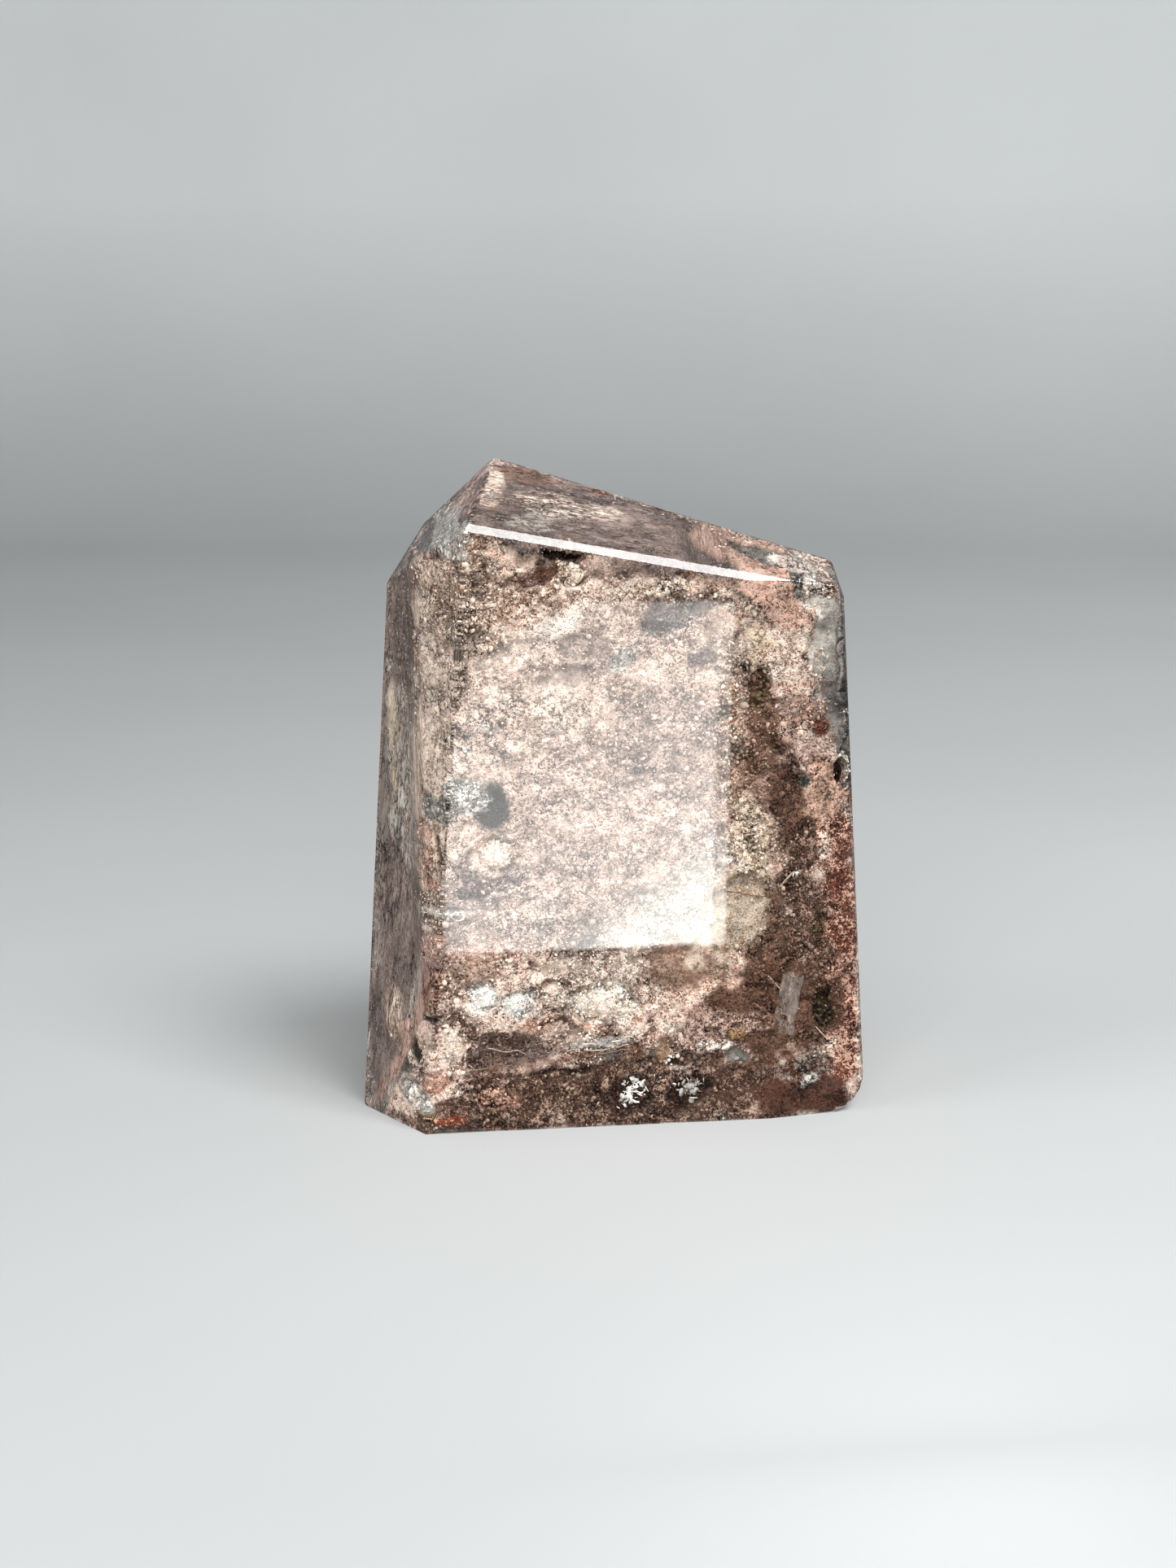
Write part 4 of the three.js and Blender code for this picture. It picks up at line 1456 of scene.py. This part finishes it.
@dataclass
class CrustCrumbs:
    """Round crumbs that make the crusts and clumps ragged.

    Attributes:
        bed: the built bed.
        on_bed: how many lie on the bed's crusts.
        to_square: how many lie on a square mm of a clump.
        seed: number that picks the strewing.
    """

    bed: InclusionBed
    on_bed: int = 20000
    to_square: float = 18.0
    seed: int = 33

    def over_bed(self, draw: np.random.Generator) -> tuple[np.ndarray, np.ndarray, np.ndarray]:
        """Picks crumbs on the bed, most where it is lumpy.

        Args:
            draw: source of random numbers.

        Returns:
            Middles in mm, half sizes in mm and linear colours, one row a crumb.
        """
        bed, sample = self.bed, self.bed.sample
        weight = np.clip(sample.lumps - 0.55, 0.02, None) * (0.3 + 0.7 * (bed.facing @ Stone.TOWARDS_VIEW > 0.1))
        pick = draw.choice(len(bed.places), self.on_bed, p=weight / weight.sum())
        half = np.clip(draw.lognormal(math.log(0.14), 0.45, self.on_bed), 0.06, 0.5)
        raised = draw.random(self.on_bed) ** 2 * np.clip(sample.lumps[pick], 0.2, 1.6) * 0.45
        places = bed.places[pick] + draw.normal(0.0, 0.12, (self.on_bed, 3)) + bed.facing[pick] * raised[:, None]
        pale = draw.random(self.on_bed) < sample.share[pick] * 0.7 + 0.6 * raised
        colours = np.where(pale[:, None], sample.fleck[pick], sample.ground[pick])
        # painted light and shade: crumbs raised further from the bed are made lighter, the low ones darker
        return places, half, colours * (0.8 + 0.5 * raised)[:, None]

    def over_clump(self, draw: np.random.Generator, zone: Zone, clump: np.ndarray) -> tuple[np.ndarray, np.ndarray, np.ndarray]:
        """Picks crumbs on a clump.

        Args:
            draw: source of random numbers.
            zone: the clump's zone.
            clump: the clump's points in mm.

        Returns:
            Middles in mm, half sizes in mm and linear colours, one row a crumb.
        """
        count = int(self.to_square * zone.wide * zone.tall * math.pi)
        places = clump[draw.integers(0, len(clump), count)] + draw.normal(0.0, 0.12, (count, 3))
        half = np.clip(draw.lognormal(math.log(0.11), 0.4, count), 0.05, 0.3)
        pale = draw.random(count) < zone.share
        colours = np.where(pale[:, None], np.array(zone.fleck.light), np.array(zone.ground.light))
        return places, half, 1.2 * colours

    def build(self, clumps: Sequence[tuple[Zone, np.ndarray]]) -> bpy.types.Object:
        """Builds the crumbs.

        Args:
            clumps: each clump's zone and its points in mm.

        Returns:
            The crumbs' object.
        """
        draw = np.random.default_rng(self.seed)
        parts = [self.over_bed(draw)] + [self.over_clump(draw, *clump) for clump in clumps]
        places, half, colours = (np.concatenate(column) for column in zip(*parts))
        colours = np.clip(colours * (1.12 - 0.65 * draw.random((len(half), 1)) ** 2.0), 0.0, 0.95)
        sizes = half[:, None] * draw.uniform(0.5, 1.4, (len(half), 3))
        turns = random_turns(draw, len(half))
        kept = np.flatnonzero(self.bed.stone.clearance(places) > 0.2 + sizes.max(axis=1))
        log.info("crumbs: %d of %d lie inside", len(kept), len(half))
        material = GrainFinish("crust_crumbs", 0.75).material()
        crumbs = []
        for number, part in enumerate(np.array_split(kept, 3), 1):
            made = Template.crumb().strewn(
                f"crust_crumbs_{number}", places[part], turns[part], sizes[part], colours[part]
            )
            crumbs.append(settle(made, material))
        return crumbs


@dataclass(frozen=True)
class Strand:
    """A vein, crack or needle: a thin rod along a path close under the polish.

    Attributes:
        path: X and Z of its points in mm, seen straight from the front.
        depth: how far in mm it lies below the polish.
        thick: half thickness in mm.
        waver: how far it wavers to either side, in mm.
        colour: its mineral.
    """

    path: tuple[tuple[float, float], ...]
    depth: float
    thick: float
    waver: float
    colour: Mineral


STRANDS = (
    # needle of the lower right
    Strand(((16.2, 15.8), (23.3, 7.9)), 0.5, 0.07, 0.0, Mineral.SAND),
    # second, fainter needle
    Strand(((14.6, 12.9), (19.4, 9.2)), 0.8, 0.05, 0.0, Mineral.TAN),
    # white vein of the left, with its ring
    Strand(((-21.2, 23.3), (-20.0, 23.6), (-18.0, 23.6), (-16.3, 23.4)), 0.6, 0.07, 0.25, Mineral.CREAM),
    Strand(((-18.1, 23.5), (-17.6, 24.0), (-16.8, 23.9), (-16.6, 23.3), (-17.3, 23.0), (-18.1, 23.5)), 0.4, 0.08, 0.03, Mineral.WHITE),
    Strand(((-21.0, 24.8), (-19.2, 24.9), (-16.0, 24.3), (-13.8, 24.5)), 0.5, 0.07, 0.15, Mineral.GREY),
    # wavy veins of the foot
    Strand(((-17.4, 7.0), (-13.0, 6.9), (-9.0, 7.6), (-3.8, 7.8), (1.0, 8.2)), 0.6, 0.05, 0.3, Mineral.TAN),
    Strand(((-14.3, 9.1), (-10.0, 8.2), (-5.0, 8.8), (0.0, 9.2), (2.4, 10.0)), 0.6, 0.05, 0.35, Mineral.SAND),
    Strand(((-4.6, 9.3), (-2.0, 9.0), (0.5, 9.6), (2.4, 10.2)), 0.42, 0.09, 0.35, Mineral.CREAM),
    Strand(((-5.2, 8.5), (-2.2, 8.3), (0.9, 8.9)), 0.45, 0.08, 0.35, Mineral.MILKY),
    # crack over the smoky pocket
    Strand(((10.4, 25.4), (12.6, 25.0), (15.8, 24.4), (17.4, 25.2)), 0.7, 0.06, 0.12, Mineral.BROWN),
    # pale rim of the smoky pocket
    Strand(((19.9, 27.6), (17.6, 25.4), (15.9, 22.8), (15.4, 20.3), (13.6, 18.5), (12.4, 17.1), (10.6, 15.1)), 1.0, 0.11, 0.25, Mineral.MILKY),
    # hair cracks inside the haze
    Strand(((-4.4, 25.9), (-3.2, 25.3), (-2.4, 24.4)), 0.4, 0.05, 0.05, Mineral.BROWN),
    Strand(((2.0, 29.4), (3.1, 28.7)), 0.4, 0.05, 0.0, Mineral.BROWN),
)


@dataclass
class Veins:
    """The needles, veins and cracks close under the polish.

    Attributes:
        bed: the built bed.
        sides: how many sides a rod has.
        step: length in mm of a rod's steps.
    """

    bed: InclusionBed
    sides: int = 6
    step: float = 0.35

    def middle_line(self, strand: Strand) -> np.ndarray:
        """Points in mm along the strand, a step apart."""
        corners = np.array(strand.path)
        lengths = np.concatenate([[0.0], np.cumsum(np.linalg.norm(np.diff(corners, axis=0), axis=1))])
        along = np.linspace(0.0, lengths[-1], max(2, int(lengths[-1] / self.step)))
        flat = np.column_stack([np.interp(along, lengths, corners[:, axis]) for axis in (0, 1)])
        front = np.array([self.bed.stone.front_at(across, up) for across, up in flat])
        inwards = -self.bed.stone.facing(front)
        middle = front + inwards * strand.depth
        for axis, field in zip((0, 2), self.bed.field.shake):
            middle[:, axis] += strand.waver * field.layered(middle, 1.6, 3)
        return middle

    def rod(self, strand: Strand) -> bmesh.types.BMesh:
        """Draws a ring along the strand into a closed rod.

        Args:
            strand: the strand to shape.

        Returns:
            The rod in metres, for the caller to free.
        """
        line = self.middle_line(strand)
        shape = bmesh.new()
        first = Vector(line[1] - line[0]).to_track_quat("Z", "Y").to_matrix()
        made = bmesh.ops.create_circle(shape, cap_ends=True, segments=self.sides, radius=strand.thick)
        bmesh.ops.rotate(shape, verts=made["verts"], matrix=first)
        bmesh.ops.translate(shape, verts=made["verts"], vec=line[0])
        face = shape.faces[:][0]
        for start, end in zip(line, line[1:]):
            pulled = bmesh.ops.extrude_face_region(shape, geom=[face])
            face = next(item for item in pulled["geom"] if isinstance(item, bmesh.types.BMFace))
            bmesh.ops.translate(shape, verts=list(face.verts), vec=end - start)
        bmesh.ops.recalc_face_normals(shape, faces=shape.faces)
        bmesh.ops.scale(shape, verts=shape.verts, vec=(MM, MM, MM))
        return shape

    def build(self) -> bpy.types.Object:
        """Builds every strand as one piece."""
        whole = bmesh.new()
        colours = []
        for strand in STRANDS:
            shape = self.rod(strand)
            colours.append(np.tile((*strand.colour.light, 1.0), (len(shape.verts), 1)))
            part = bpy.data.meshes.new("strand")
            shape.to_mesh(part)
            shape.free()
            whole.from_mesh(part)
            bpy.data.meshes.remove(part)
        mesh = bpy.data.meshes.new("veins")
        whole.to_mesh(mesh)
        whole.free()
        mesh.shade_smooth()
        paint(mesh, "ground", np.concatenate(colours))
        return settle(mesh_object("veins", mesh), GrainFinish("vein_mineral", 0.85).material())


@dataclass(frozen=True)
class Slab:
    """The grey-pink slab that leans in the lower right.

    Attributes:
        across: X of its middle in mm.
        up: Z of its middle in mm.
        half: half its width, thickness and height in mm.
        lean: degrees that its top leans to the right.
        depth: how far in mm its front lies below the polish.
    """

    across: float = 18.3
    up: float = 11.6
    half: tuple[float, float, float] = (1.15, 0.3, 4.1)
    lean: float = 9.0
    depth: float = 0.2

    def build(self, bed: InclusionBed) -> bpy.types.Object:
        """Builds the slab, with a crumbly skin, in front of the bed."""
        front = bed.stone.front_at(self.across, self.up)
        inwards = -bed.stone.facing(front[None, :])[0]
        shape = bmesh.new()
        bmesh.ops.create_cube(shape, size=2.0)
        bmesh.ops.subdivide_edges(shape, edges=shape.edges, cuts=11, use_grid_fill=True)
        bmesh.ops.scale(shape, verts=shape.verts, vec=self.half)
        bmesh.ops.rotate(shape, verts=shape.verts, matrix=Matrix.Rotation(math.radians(self.lean), 3, "Y"))
        bmesh.ops.translate(shape, verts=shape.verts, vec=front + inwards * (self.depth + self.half[1] + 0.2))
        mesh = bpy.data.meshes.new("slab")
        shape.to_mesh(mesh)
        shape.free()
        places = np.zeros(len(mesh.vertices) * 3, np.float32)
        mesh.vertices.foreach_get("co", places)
        places = places.reshape(-1, 3).astype(float)
        places += 0.22 * np.stack([field.layered(places, 1.3, 3) for field in bed.field.shake], axis=1)
        move_vertices(mesh, places)
        mesh.shade_flat()
        count = len(places)
        streak = (0.8 + 0.35 * bed.field.swells.layered(places * (1.0, 1.0, 0.3), 0.8, 3))[:, None]
        ground = np.array(Mineral.TOPSAND.light) * streak
        fleck = np.array(Mineral.SAND.light) * streak
        paint(mesh, "ground", np.column_stack([ground, np.full(count, 0.35)]))
        paint(mesh, "fleck", np.column_stack([fleck, np.ones(count)]))
        crumbly = mesh.attributes.new("crumbly", "FLOAT", "POINT")
        crumbly.data.foreach_set("value", np.full(count, 0.5, np.float32))
        return settle(mesh_object("slab", mesh), bed.finish)


@dataclass(frozen=True)
class FlakeSpot:
    """A spot with silvery flakes.

    Attributes:
        across: X of its middle in mm.
        up: Z of its middle in mm.
        spread: how far the flakes lie from it, in mm.
        count: how many flakes.
        half: mean half width in mm of a flake.
        colour: their mineral.
    """

    across: float
    up: float
    spread: float
    count: int
    half: float
    colour: Mineral


FLAKE_SPOTS = (
    # silver flakes of the foot
    FlakeSpot(1.6, 4.0, 1.1, 60, 0.42, Mineral.WHITE),
    FlakeSpot(0.6, 2.9, 0.7, 24, 0.32, Mineral.WHITE),
    FlakeSpot(4.5, 5.0, 1.4, 34, 0.3, Mineral.WHITE),
    FlakeSpot(7.7, 3.9, 1.0, 40, 0.36, Mineral.PEARL),
    # torn white threads of the foot
    FlakeSpot(-2.6, 9.2, 1.5, 44, 0.2, Mineral.WHITE),
    FlakeSpot(0.6, 9.5, 1.3, 36, 0.2, Mineral.PEARL),
    FlakeSpot(-5.0, 8.6, 1.3, 26, 0.18, Mineral.PEARL),
    FlakeSpot(20.3, 5.6, 1.4, 12, 0.14, Mineral.GREY),
    # white flakes beside the green spot
    FlakeSpot(-16.3, 36.3, 1.2, 26, 0.24, Mineral.WHITE),
    FlakeSpot(-18.6, 34.2, 0.9, 12, 0.2, Mineral.GREY),
    # flakes of the right side
    FlakeSpot(15.8, 28.2, 0.8, 14, 0.24, Mineral.WHITE),
    FlakeSpot(19.7, 27.3, 0.7, 12, 0.22, Mineral.WHITE),
    FlakeSpot(16.6, 25.3, 0.6, 10, 0.2, Mineral.MILKY),
    FlakeSpot(15.2, 20.6, 0.7, 10, 0.18, Mineral.WHITE),
    FlakeSpot(12.8, 17.4, 0.7, 10, 0.18, Mineral.MILKY),
    FlakeSpot(10.8, 14.9, 0.8, 12, 0.2, Mineral.MILKY),
    # white flakes of the clear corner
    FlakeSpot(20.3, 55.1, 0.8, 26, 0.26, Mineral.WHITE),
    FlakeSpot(21.5, 50.0, 1.6, 26, 0.24, Mineral.MILKY),
    FlakeSpot(23.0, 45.0, 1.2, 22, 0.24, Mineral.GREY),
    FlakeSpot(22.5, 40.0, 1.2, 18, 0.22, Mineral.MILKY),
    # white corner clump
    FlakeSpot(-22.2, 3.4, 1.0, 18, 0.26, Mineral.WHITE),
)


@dataclass
class SilverFlakes:
    """Silvery flakes in clusters, and a few strewn over the bed.

    Attributes:
        bed: the built bed.
        strewn: how many lie anywhere on the bed.
        seed: number that picks the strewing.
    """

    bed: InclusionBed
    strewn: int = 350
    seed: int = 41

    def build(self) -> bpy.types.Object:
        """Builds the flakes as one piece."""
        draw = np.random.default_rng(self.seed)
        stone = self.bed.stone
        places, half, colours = [], [], []
        for spot in FLAKE_SPOTS:
            flat = draw.normal((spot.across, spot.up), spot.spread * 0.6, (spot.count, 2))
            front = np.array([stone.front_at(across, up) for across, up in flat])
            deep = draw.uniform(0.6, 1.1, (spot.count, 1))
            places.append(front - stone.facing(front) * deep)
            half.append(spot.half * draw.lognormal(0.0, 0.35, spot.count))
            colours.append(np.tile(spot.colour.light, (spot.count, 1)))
        pick = draw.integers(0, len(self.bed.places), self.strewn)
        places.append(self.bed.places[pick] + self.bed.facing[pick] * draw.uniform(0.05, 0.3, (self.strewn, 1)))
        half.append(0.16 * draw.lognormal(0.0, 0.35, self.strewn))
        colours.append(np.tile(Mineral.MILKY.light, (self.strewn, 1)))
        places, half, colours = (np.concatenate(part) for part in (places, half, colours))
        sizes = half[:, None] * draw.uniform((0.7, 0.5, 0.5), (1.3, 1.0, 1.0), (len(half), 3))
        kept = stone.clearance(places) > 0.15 + sizes.max(axis=1)
        turns = random_turns(draw, len(half))
        flakes = Template.plate().strewn("silver_flakes", places[kept], turns[kept], sizes[kept], colours[kept])
        return settle(flakes, GrainFinish("silver_mica", 0.18).material())


@dataclass
class LooseGrains:
    """Sand grains strewn over the bed, in pieces of a size that every tool takes.

    Attributes:
        bed: the built bed.
        count: how many grains in all.
        a_piece: most grains in one piece.
        dark_below: linear brightness below which a bed has larger chunks too.
        seed: number that picks the strewing.
    """

    bed: InclusionBed
    count: int = 60000
    a_piece: int = 20000
    dark_below: float = 0.2
    seed: int = 21

    def build(self) -> list[bpy.types.Object]:
        """Builds the grains."""
        draw = np.random.default_rng(self.seed)
        bed, sample = self.bed, self.bed.sample
        weight = sample.crumbly**2
        pick = draw.choice(len(bed.places), self.count, p=weight / weight.sum())
        jitter = draw.normal(0.0, 0.14, (self.count, 3))
        raised = np.where(
            draw.random(self.count) < 0.88,
            draw.uniform(-0.04, 0.14, self.count),
            draw.random(self.count) ** 2 * np.minimum(sample.depth[pick], 2.5),
        )
        places = bed.places[pick] + jitter + bed.facing[pick] * raised[:, None]
        half = np.clip(draw.lognormal(math.log(0.12), 0.55, self.count), 0.05, 0.6)
        dark = sample.ground[pick].max(axis=1) < self.dark_below
        half *= np.where(dark & (draw.random(self.count) < 0.4), 2.2, 1.0)
        half = np.minimum(half, 0.5)
        sizes = half[:, None] * draw.uniform((0.7, 0.5, 0.15), (1.5, 1.1, 0.7), (self.count, 3))
        turns = random_turns(draw, self.count)
        upright, level = sample.upright[pick] > 0.5, sample.level[pick] > 0.5
        still = np.eye(3)
        slope = np.array(Matrix.Rotation(math.radians(10.0), 3, "Y"))
        turns[upright], turns[level] = still, slope
        sizes[upright] *= (0.7, 0.7, 2.6)
        sizes[level] *= (2.6, 0.7, 0.6)
        pale = draw.random(self.count) < sample.share[pick]
        colours = np.where(pale[:, None], sample.fleck[pick], sample.ground[pick])
        colours = np.clip(colours * (1.12 - 0.6 * draw.random((self.count, 1)) ** 2.5), 0.0, 0.92)
        kept = bed.stone.clearance(places) > 0.22 + sizes.max(axis=1)
        log.info("loose grains: %d of %d lie inside", int(kept.sum()), self.count)

        material = GrainFinish("loose_grains", 0.75).material()
        order = np.flatnonzero(kept)
        order = order[np.argsort(bed.places[pick[order], 1], kind="stable")]
        pieces = []
        for number, start in enumerate(range(0, len(order), self.a_piece), 1):
            part = order[start : start + self.a_piece]
            grains = Template.grain().strewn(
                f"sand_grains_{number}", places[part], turns[part], sizes[part], colours[part]
            )
            pieces.append(settle(grains, material))
        return pieces


@dataclass(frozen=True)
class LightCard:
    """A glowing card that the wide facet mirrors, brightest at its lower right.

    Attributes:
        corners: its corners in mm, from the top left clockwise as the facet mirrors them.
        haze: radiance over most of it.
        haze_tint: colour of the haze.
        glare: radiance that its lower right corner adds.
        glare_tint: colour of the glare.
        strip: where, across it, a dimmer strip starts.
        surround: how far its dark surround reaches, in widths of the card.
    """

    corners: tuple[tuple[float, float, float], ...] = (
        (-9.55, -94.29, 56.44),
        (28.30, -94.30, 56.24),
        (26.84, -97.60, 9.14),
        (-12.21, -97.60, 9.14),
    )
    haze: float = 5.9
    haze_tint: tuple[float, float, float] = (1.0, 0.975, 0.97)
    glare: float = 8.5
    glare_tint: tuple[float, float, float] = (0.94, 1.0, 0.92)
    strip: float = 0.945
    surround: float = 1.0

    def radiance(self, across: np.ndarray, down: np.ndarray) -> np.ndarray:
        """Radiance at points of the card, given by their shares across and down it.

        Past the card's own edges lies its dark surround.
        """
        rise = smooth_step(across * 0.5 + down * 0.7)
        corner = smooth_step((across * 0.63 + down - 1.2) / 0.24)
        glow = self.haze * (0.4 + 0.8 * rise)
        cut = np.hypot(np.minimum(across - 0.57, 0.0) / 0.57, np.minimum(down - 0.4, 0.0) / 0.4)
        held = smooth_step((1.02 - cut) / 0.04) * np.where(across > self.strip, 0.5, 1.0)
        held *= (np.abs(across - 0.5) < 0.5) & (np.abs(down - 0.5) < 0.5)
        tints = np.array(self.haze_tint), np.array(self.glare_tint)
        return (glow[:, None] * tints[0] + self.glare * corner[:, None] * tints[1]) * held[:, None]

    def build(self) -> bpy.types.Object:
        """Builds the card, seen only as a reflection."""
        shape = bmesh.new()
        bmesh.ops.create_grid(shape, x_segments=240, y_segments=240, size=0.5 + self.surround)
        mesh = bpy.data.meshes.new("light_card")
        shape.to_mesh(mesh)
        shape.free()
        grid = vertex_places(mesh) * MM
        across, down = grid[:, 0] + 0.5, 0.5 - grid[:, 1]
        a, b, c, d = (np.array(corner) for corner in self.corners)
        top = a + (b - a) * across[:, None]
        foot = d + (c - d) * across[:, None]
        move_vertices(mesh, top + (foot - top) * down[:, None])
        glow = self.radiance(across, down)
        paint(mesh, "glow", np.column_stack([glow, np.ones(len(glow))]))
        shader = Shader("light_card")
        emission = shader.add("Emission")
        shader.feed(emission.inputs["Color"], shader.attribute("glow").outputs["Color"])
        shader.links.new(emission.outputs[0], shader.output.inputs["Surface"])
        card = mesh_object("light_card", mesh)
        card.data.materials.append(shader.material)
        card.visible_camera = card.visible_diffuse = card.visible_shadow = False
        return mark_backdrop(card)


@dataclass(frozen=True)
class SoftLamp:
    """A square soft light aimed at the stone.

    Attributes:
        name: the lamp's name.
        turn: degrees to the right of the front that it stands.
        rise: degrees above the table.
        away: distance in metres from the stone.
        size: width in metres.
        watts: power.
        mirrored: whether the polish shows it.
    """

    name: str
    turn: float
    rise: float
    away: float
    size: float
    watts: float
    mirrored: bool

    def build(self, aim: Vector) -> bpy.types.Object:
        """Builds the lamp, aimed at a point in metres."""
        turn, rise = math.radians(self.turn), math.radians(self.rise)
        out = Vector((math.sin(turn) * math.cos(rise), -math.cos(turn) * math.cos(rise), math.sin(rise)))
        light = bpy.data.lights.new(self.name, "AREA")
        light.shape = "SQUARE"
        light.size = self.size
        light.energy = self.watts
        lamp = bpy.data.objects.new(self.name, light)
        lamp.location = aim + out * self.away
        lamp.rotation_euler = out.to_track_quat("Z", "Y").to_euler()
        lamp.visible_glossy = self.mirrored
        lamp.visible_camera = False
        bpy.context.scene.collection.objects.link(lamp)
        return lamp


@dataclass(frozen=True)
class Studio:
    """Pale table that curves up into a grey wall all round, lamps, and the camera.

    Attributes:
        floor_reach: radius in metres of the flat floor.
        curve: radius in metres of its rise into the wall.
        wall: height in metres of the wall.
        eye: the camera's place in metres.
        back: from the scene towards the camera.
        right: the camera's right.
        lens: focal length in mm on a 36 mm sensor.
    """

    floor_reach: float = 0.5
    curve: float = 0.3
    wall: float = 0.5
    eye: tuple[float, float, float] = (-0.042682, -0.295537, 0.097432)
    back: tuple[float, float, float] = (-0.13613, -0.96863, 0.20791)
    right: tuple[float, float, float] = (0.99027, -0.13917, 0.0)
    lens: float = 62.8

    def backdrop(self) -> bpy.types.Object:
        """The floor and wall, spun as one shell."""
        shape = bmesh.new()
        path = [Vector((0.0, 0.0, 0.0)), Vector((self.floor_reach, 0.0, 0.0))]
        for step in range(1, 13):
            angle = math.radians(90.0) * step / 12
            path.append(
                Vector(
                    (
                        self.floor_reach + self.curve * math.sin(angle),
                        0.0,
                        self.curve * (1.0 - math.cos(angle)),
                    )
                )
            )
        path.append(path[-1] + Vector((0.0, 0.0, self.wall - self.curve)))
        verts = [shape.verts.new(point) for point in path]
        edges = [shape.edges.new(pair) for pair in zip(verts, verts[1:])]
        bmesh.ops.spin(
            shape,
            geom=verts + edges,
            cent=(0.0, 0.0, 0.0),
            axis=(0.0, 0.0, 1.0),
            angle=math.radians(360.0),
            steps=96,
            use_merge=True,
        )
        bmesh.ops.remove_doubles(shape, verts=shape.verts, dist=1e-6)
        bmesh.ops.recalc_face_normals(shape, faces=shape.faces)
        mesh = bpy.data.meshes.new("backdrop")
        shape.to_mesh(mesh)
        shape.free()
        mesh.shade_smooth()
        shader = Shader("pale_backdrop")
        place = shader.add("TexCoord").outputs["Object"]
        mottle = shader.add("TexNoise")
        shader.feed(mottle.inputs["Vector"], place)
        shader.feed(mottle.inputs["Scale"], 9.0)
        shade = shader.spread(mottle.outputs[0], 0.3, 0.7, 0.97, 1.02)
        parts = shader.add("SeparateXYZ")
        shader.feed(parts.inputs[0], place)
        # painted light: the backdrop paler up the curve and wall, and lighter towards the right
        paler = shader.spread(parts.outputs[2], 0.0, 0.1, 0.0, 0.5)
        beside = shader.spread(parts.outputs[0], -0.08, 0.2, 0.92, 1.12)
        shade = shader.math("MULTIPLY", shade, shader.math("ADD", beside, paler))
        colour = shader.blend(1.0, (0.44, 0.452, 0.452, 1.0), shade, "MULTIPLY")
        shader.principled(Base_Color=colour, Roughness=0.9)
        mesh.materials.append(shader.material)
        shell = mesh_object("backdrop", mesh)
        shell.visible_glossy = False
        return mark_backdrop(shell)

    def camera(self) -> bpy.types.Object:
        """The camera at the photograph's viewing angle."""
        data = bpy.data.cameras.new("view")
        data.lens = self.lens
        data.sensor_width = 36.0
        data.clip_start = 0.01
        back, right = Vector(self.back).normalized(), Vector(self.right).normalized()
        up = back.cross(right)
        made = bpy.data.objects.new("view", data)
        made.matrix_world = Matrix.Translation(self.eye) @ Matrix((right, up, back)).transposed().to_4x4()
        bpy.context.scene.collection.objects.link(made)
        bpy.context.scene.camera = made
        return made

    def build(self) -> None:
        """Builds the stage and sets how the picture is developed."""
        self.backdrop()
        self.camera()
        aim = Vector((0.0, 0.0, 0.035))
        SoftLamp("key", 32.0, 57.0, 0.6, 0.3, 4.3, True).build(aim)
        SoftLamp("fill", -14.0, 24.0, 0.7, 0.4, 3.3, False).build(aim)
        SoftLamp("side", -72.0, 26.0, 0.7, 0.4, 1.9, False).build(aim)
        LightCard().build()
        world = bpy.data.worlds.new("soft_room")
        world.use_nodes = True
        air = world.node_tree.nodes["Background"]
        air.inputs["Color"].default_value = (0.93, 0.96, 1.0, 1.0)
        air.inputs["Strength"].default_value = 0.22
        scene = bpy.context.scene
        scene.world = world
        scene.view_settings.view_transform = "Standard"
        scene.cycles.use_denoising = True
        scene.cycles.caustics_reflective = False
        scene.cycles.caustics_refractive = False


def main() -> None:
    """Builds the dressed stone and its stage."""
    logging.basicConfig(level=logging.INFO, format="%(name)s: %(message)s")
    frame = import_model()
    Studio().build()
    stone = Stone(frame["nodes"][STONE_NODE])
    ClearQuartz(stone).build()
    bed = InclusionBed(stone, InclusionField(stone))
    bed.build()
    clumps = CrustClumps(bed).build()
    CrustCrumbs(bed).build(clumps)
    LooseGrains(bed).build()
    Slab().build(bed)
    Veins(bed).build()
    SilverFlakes(bed).build()


if __name__ == "__main__":
    main()
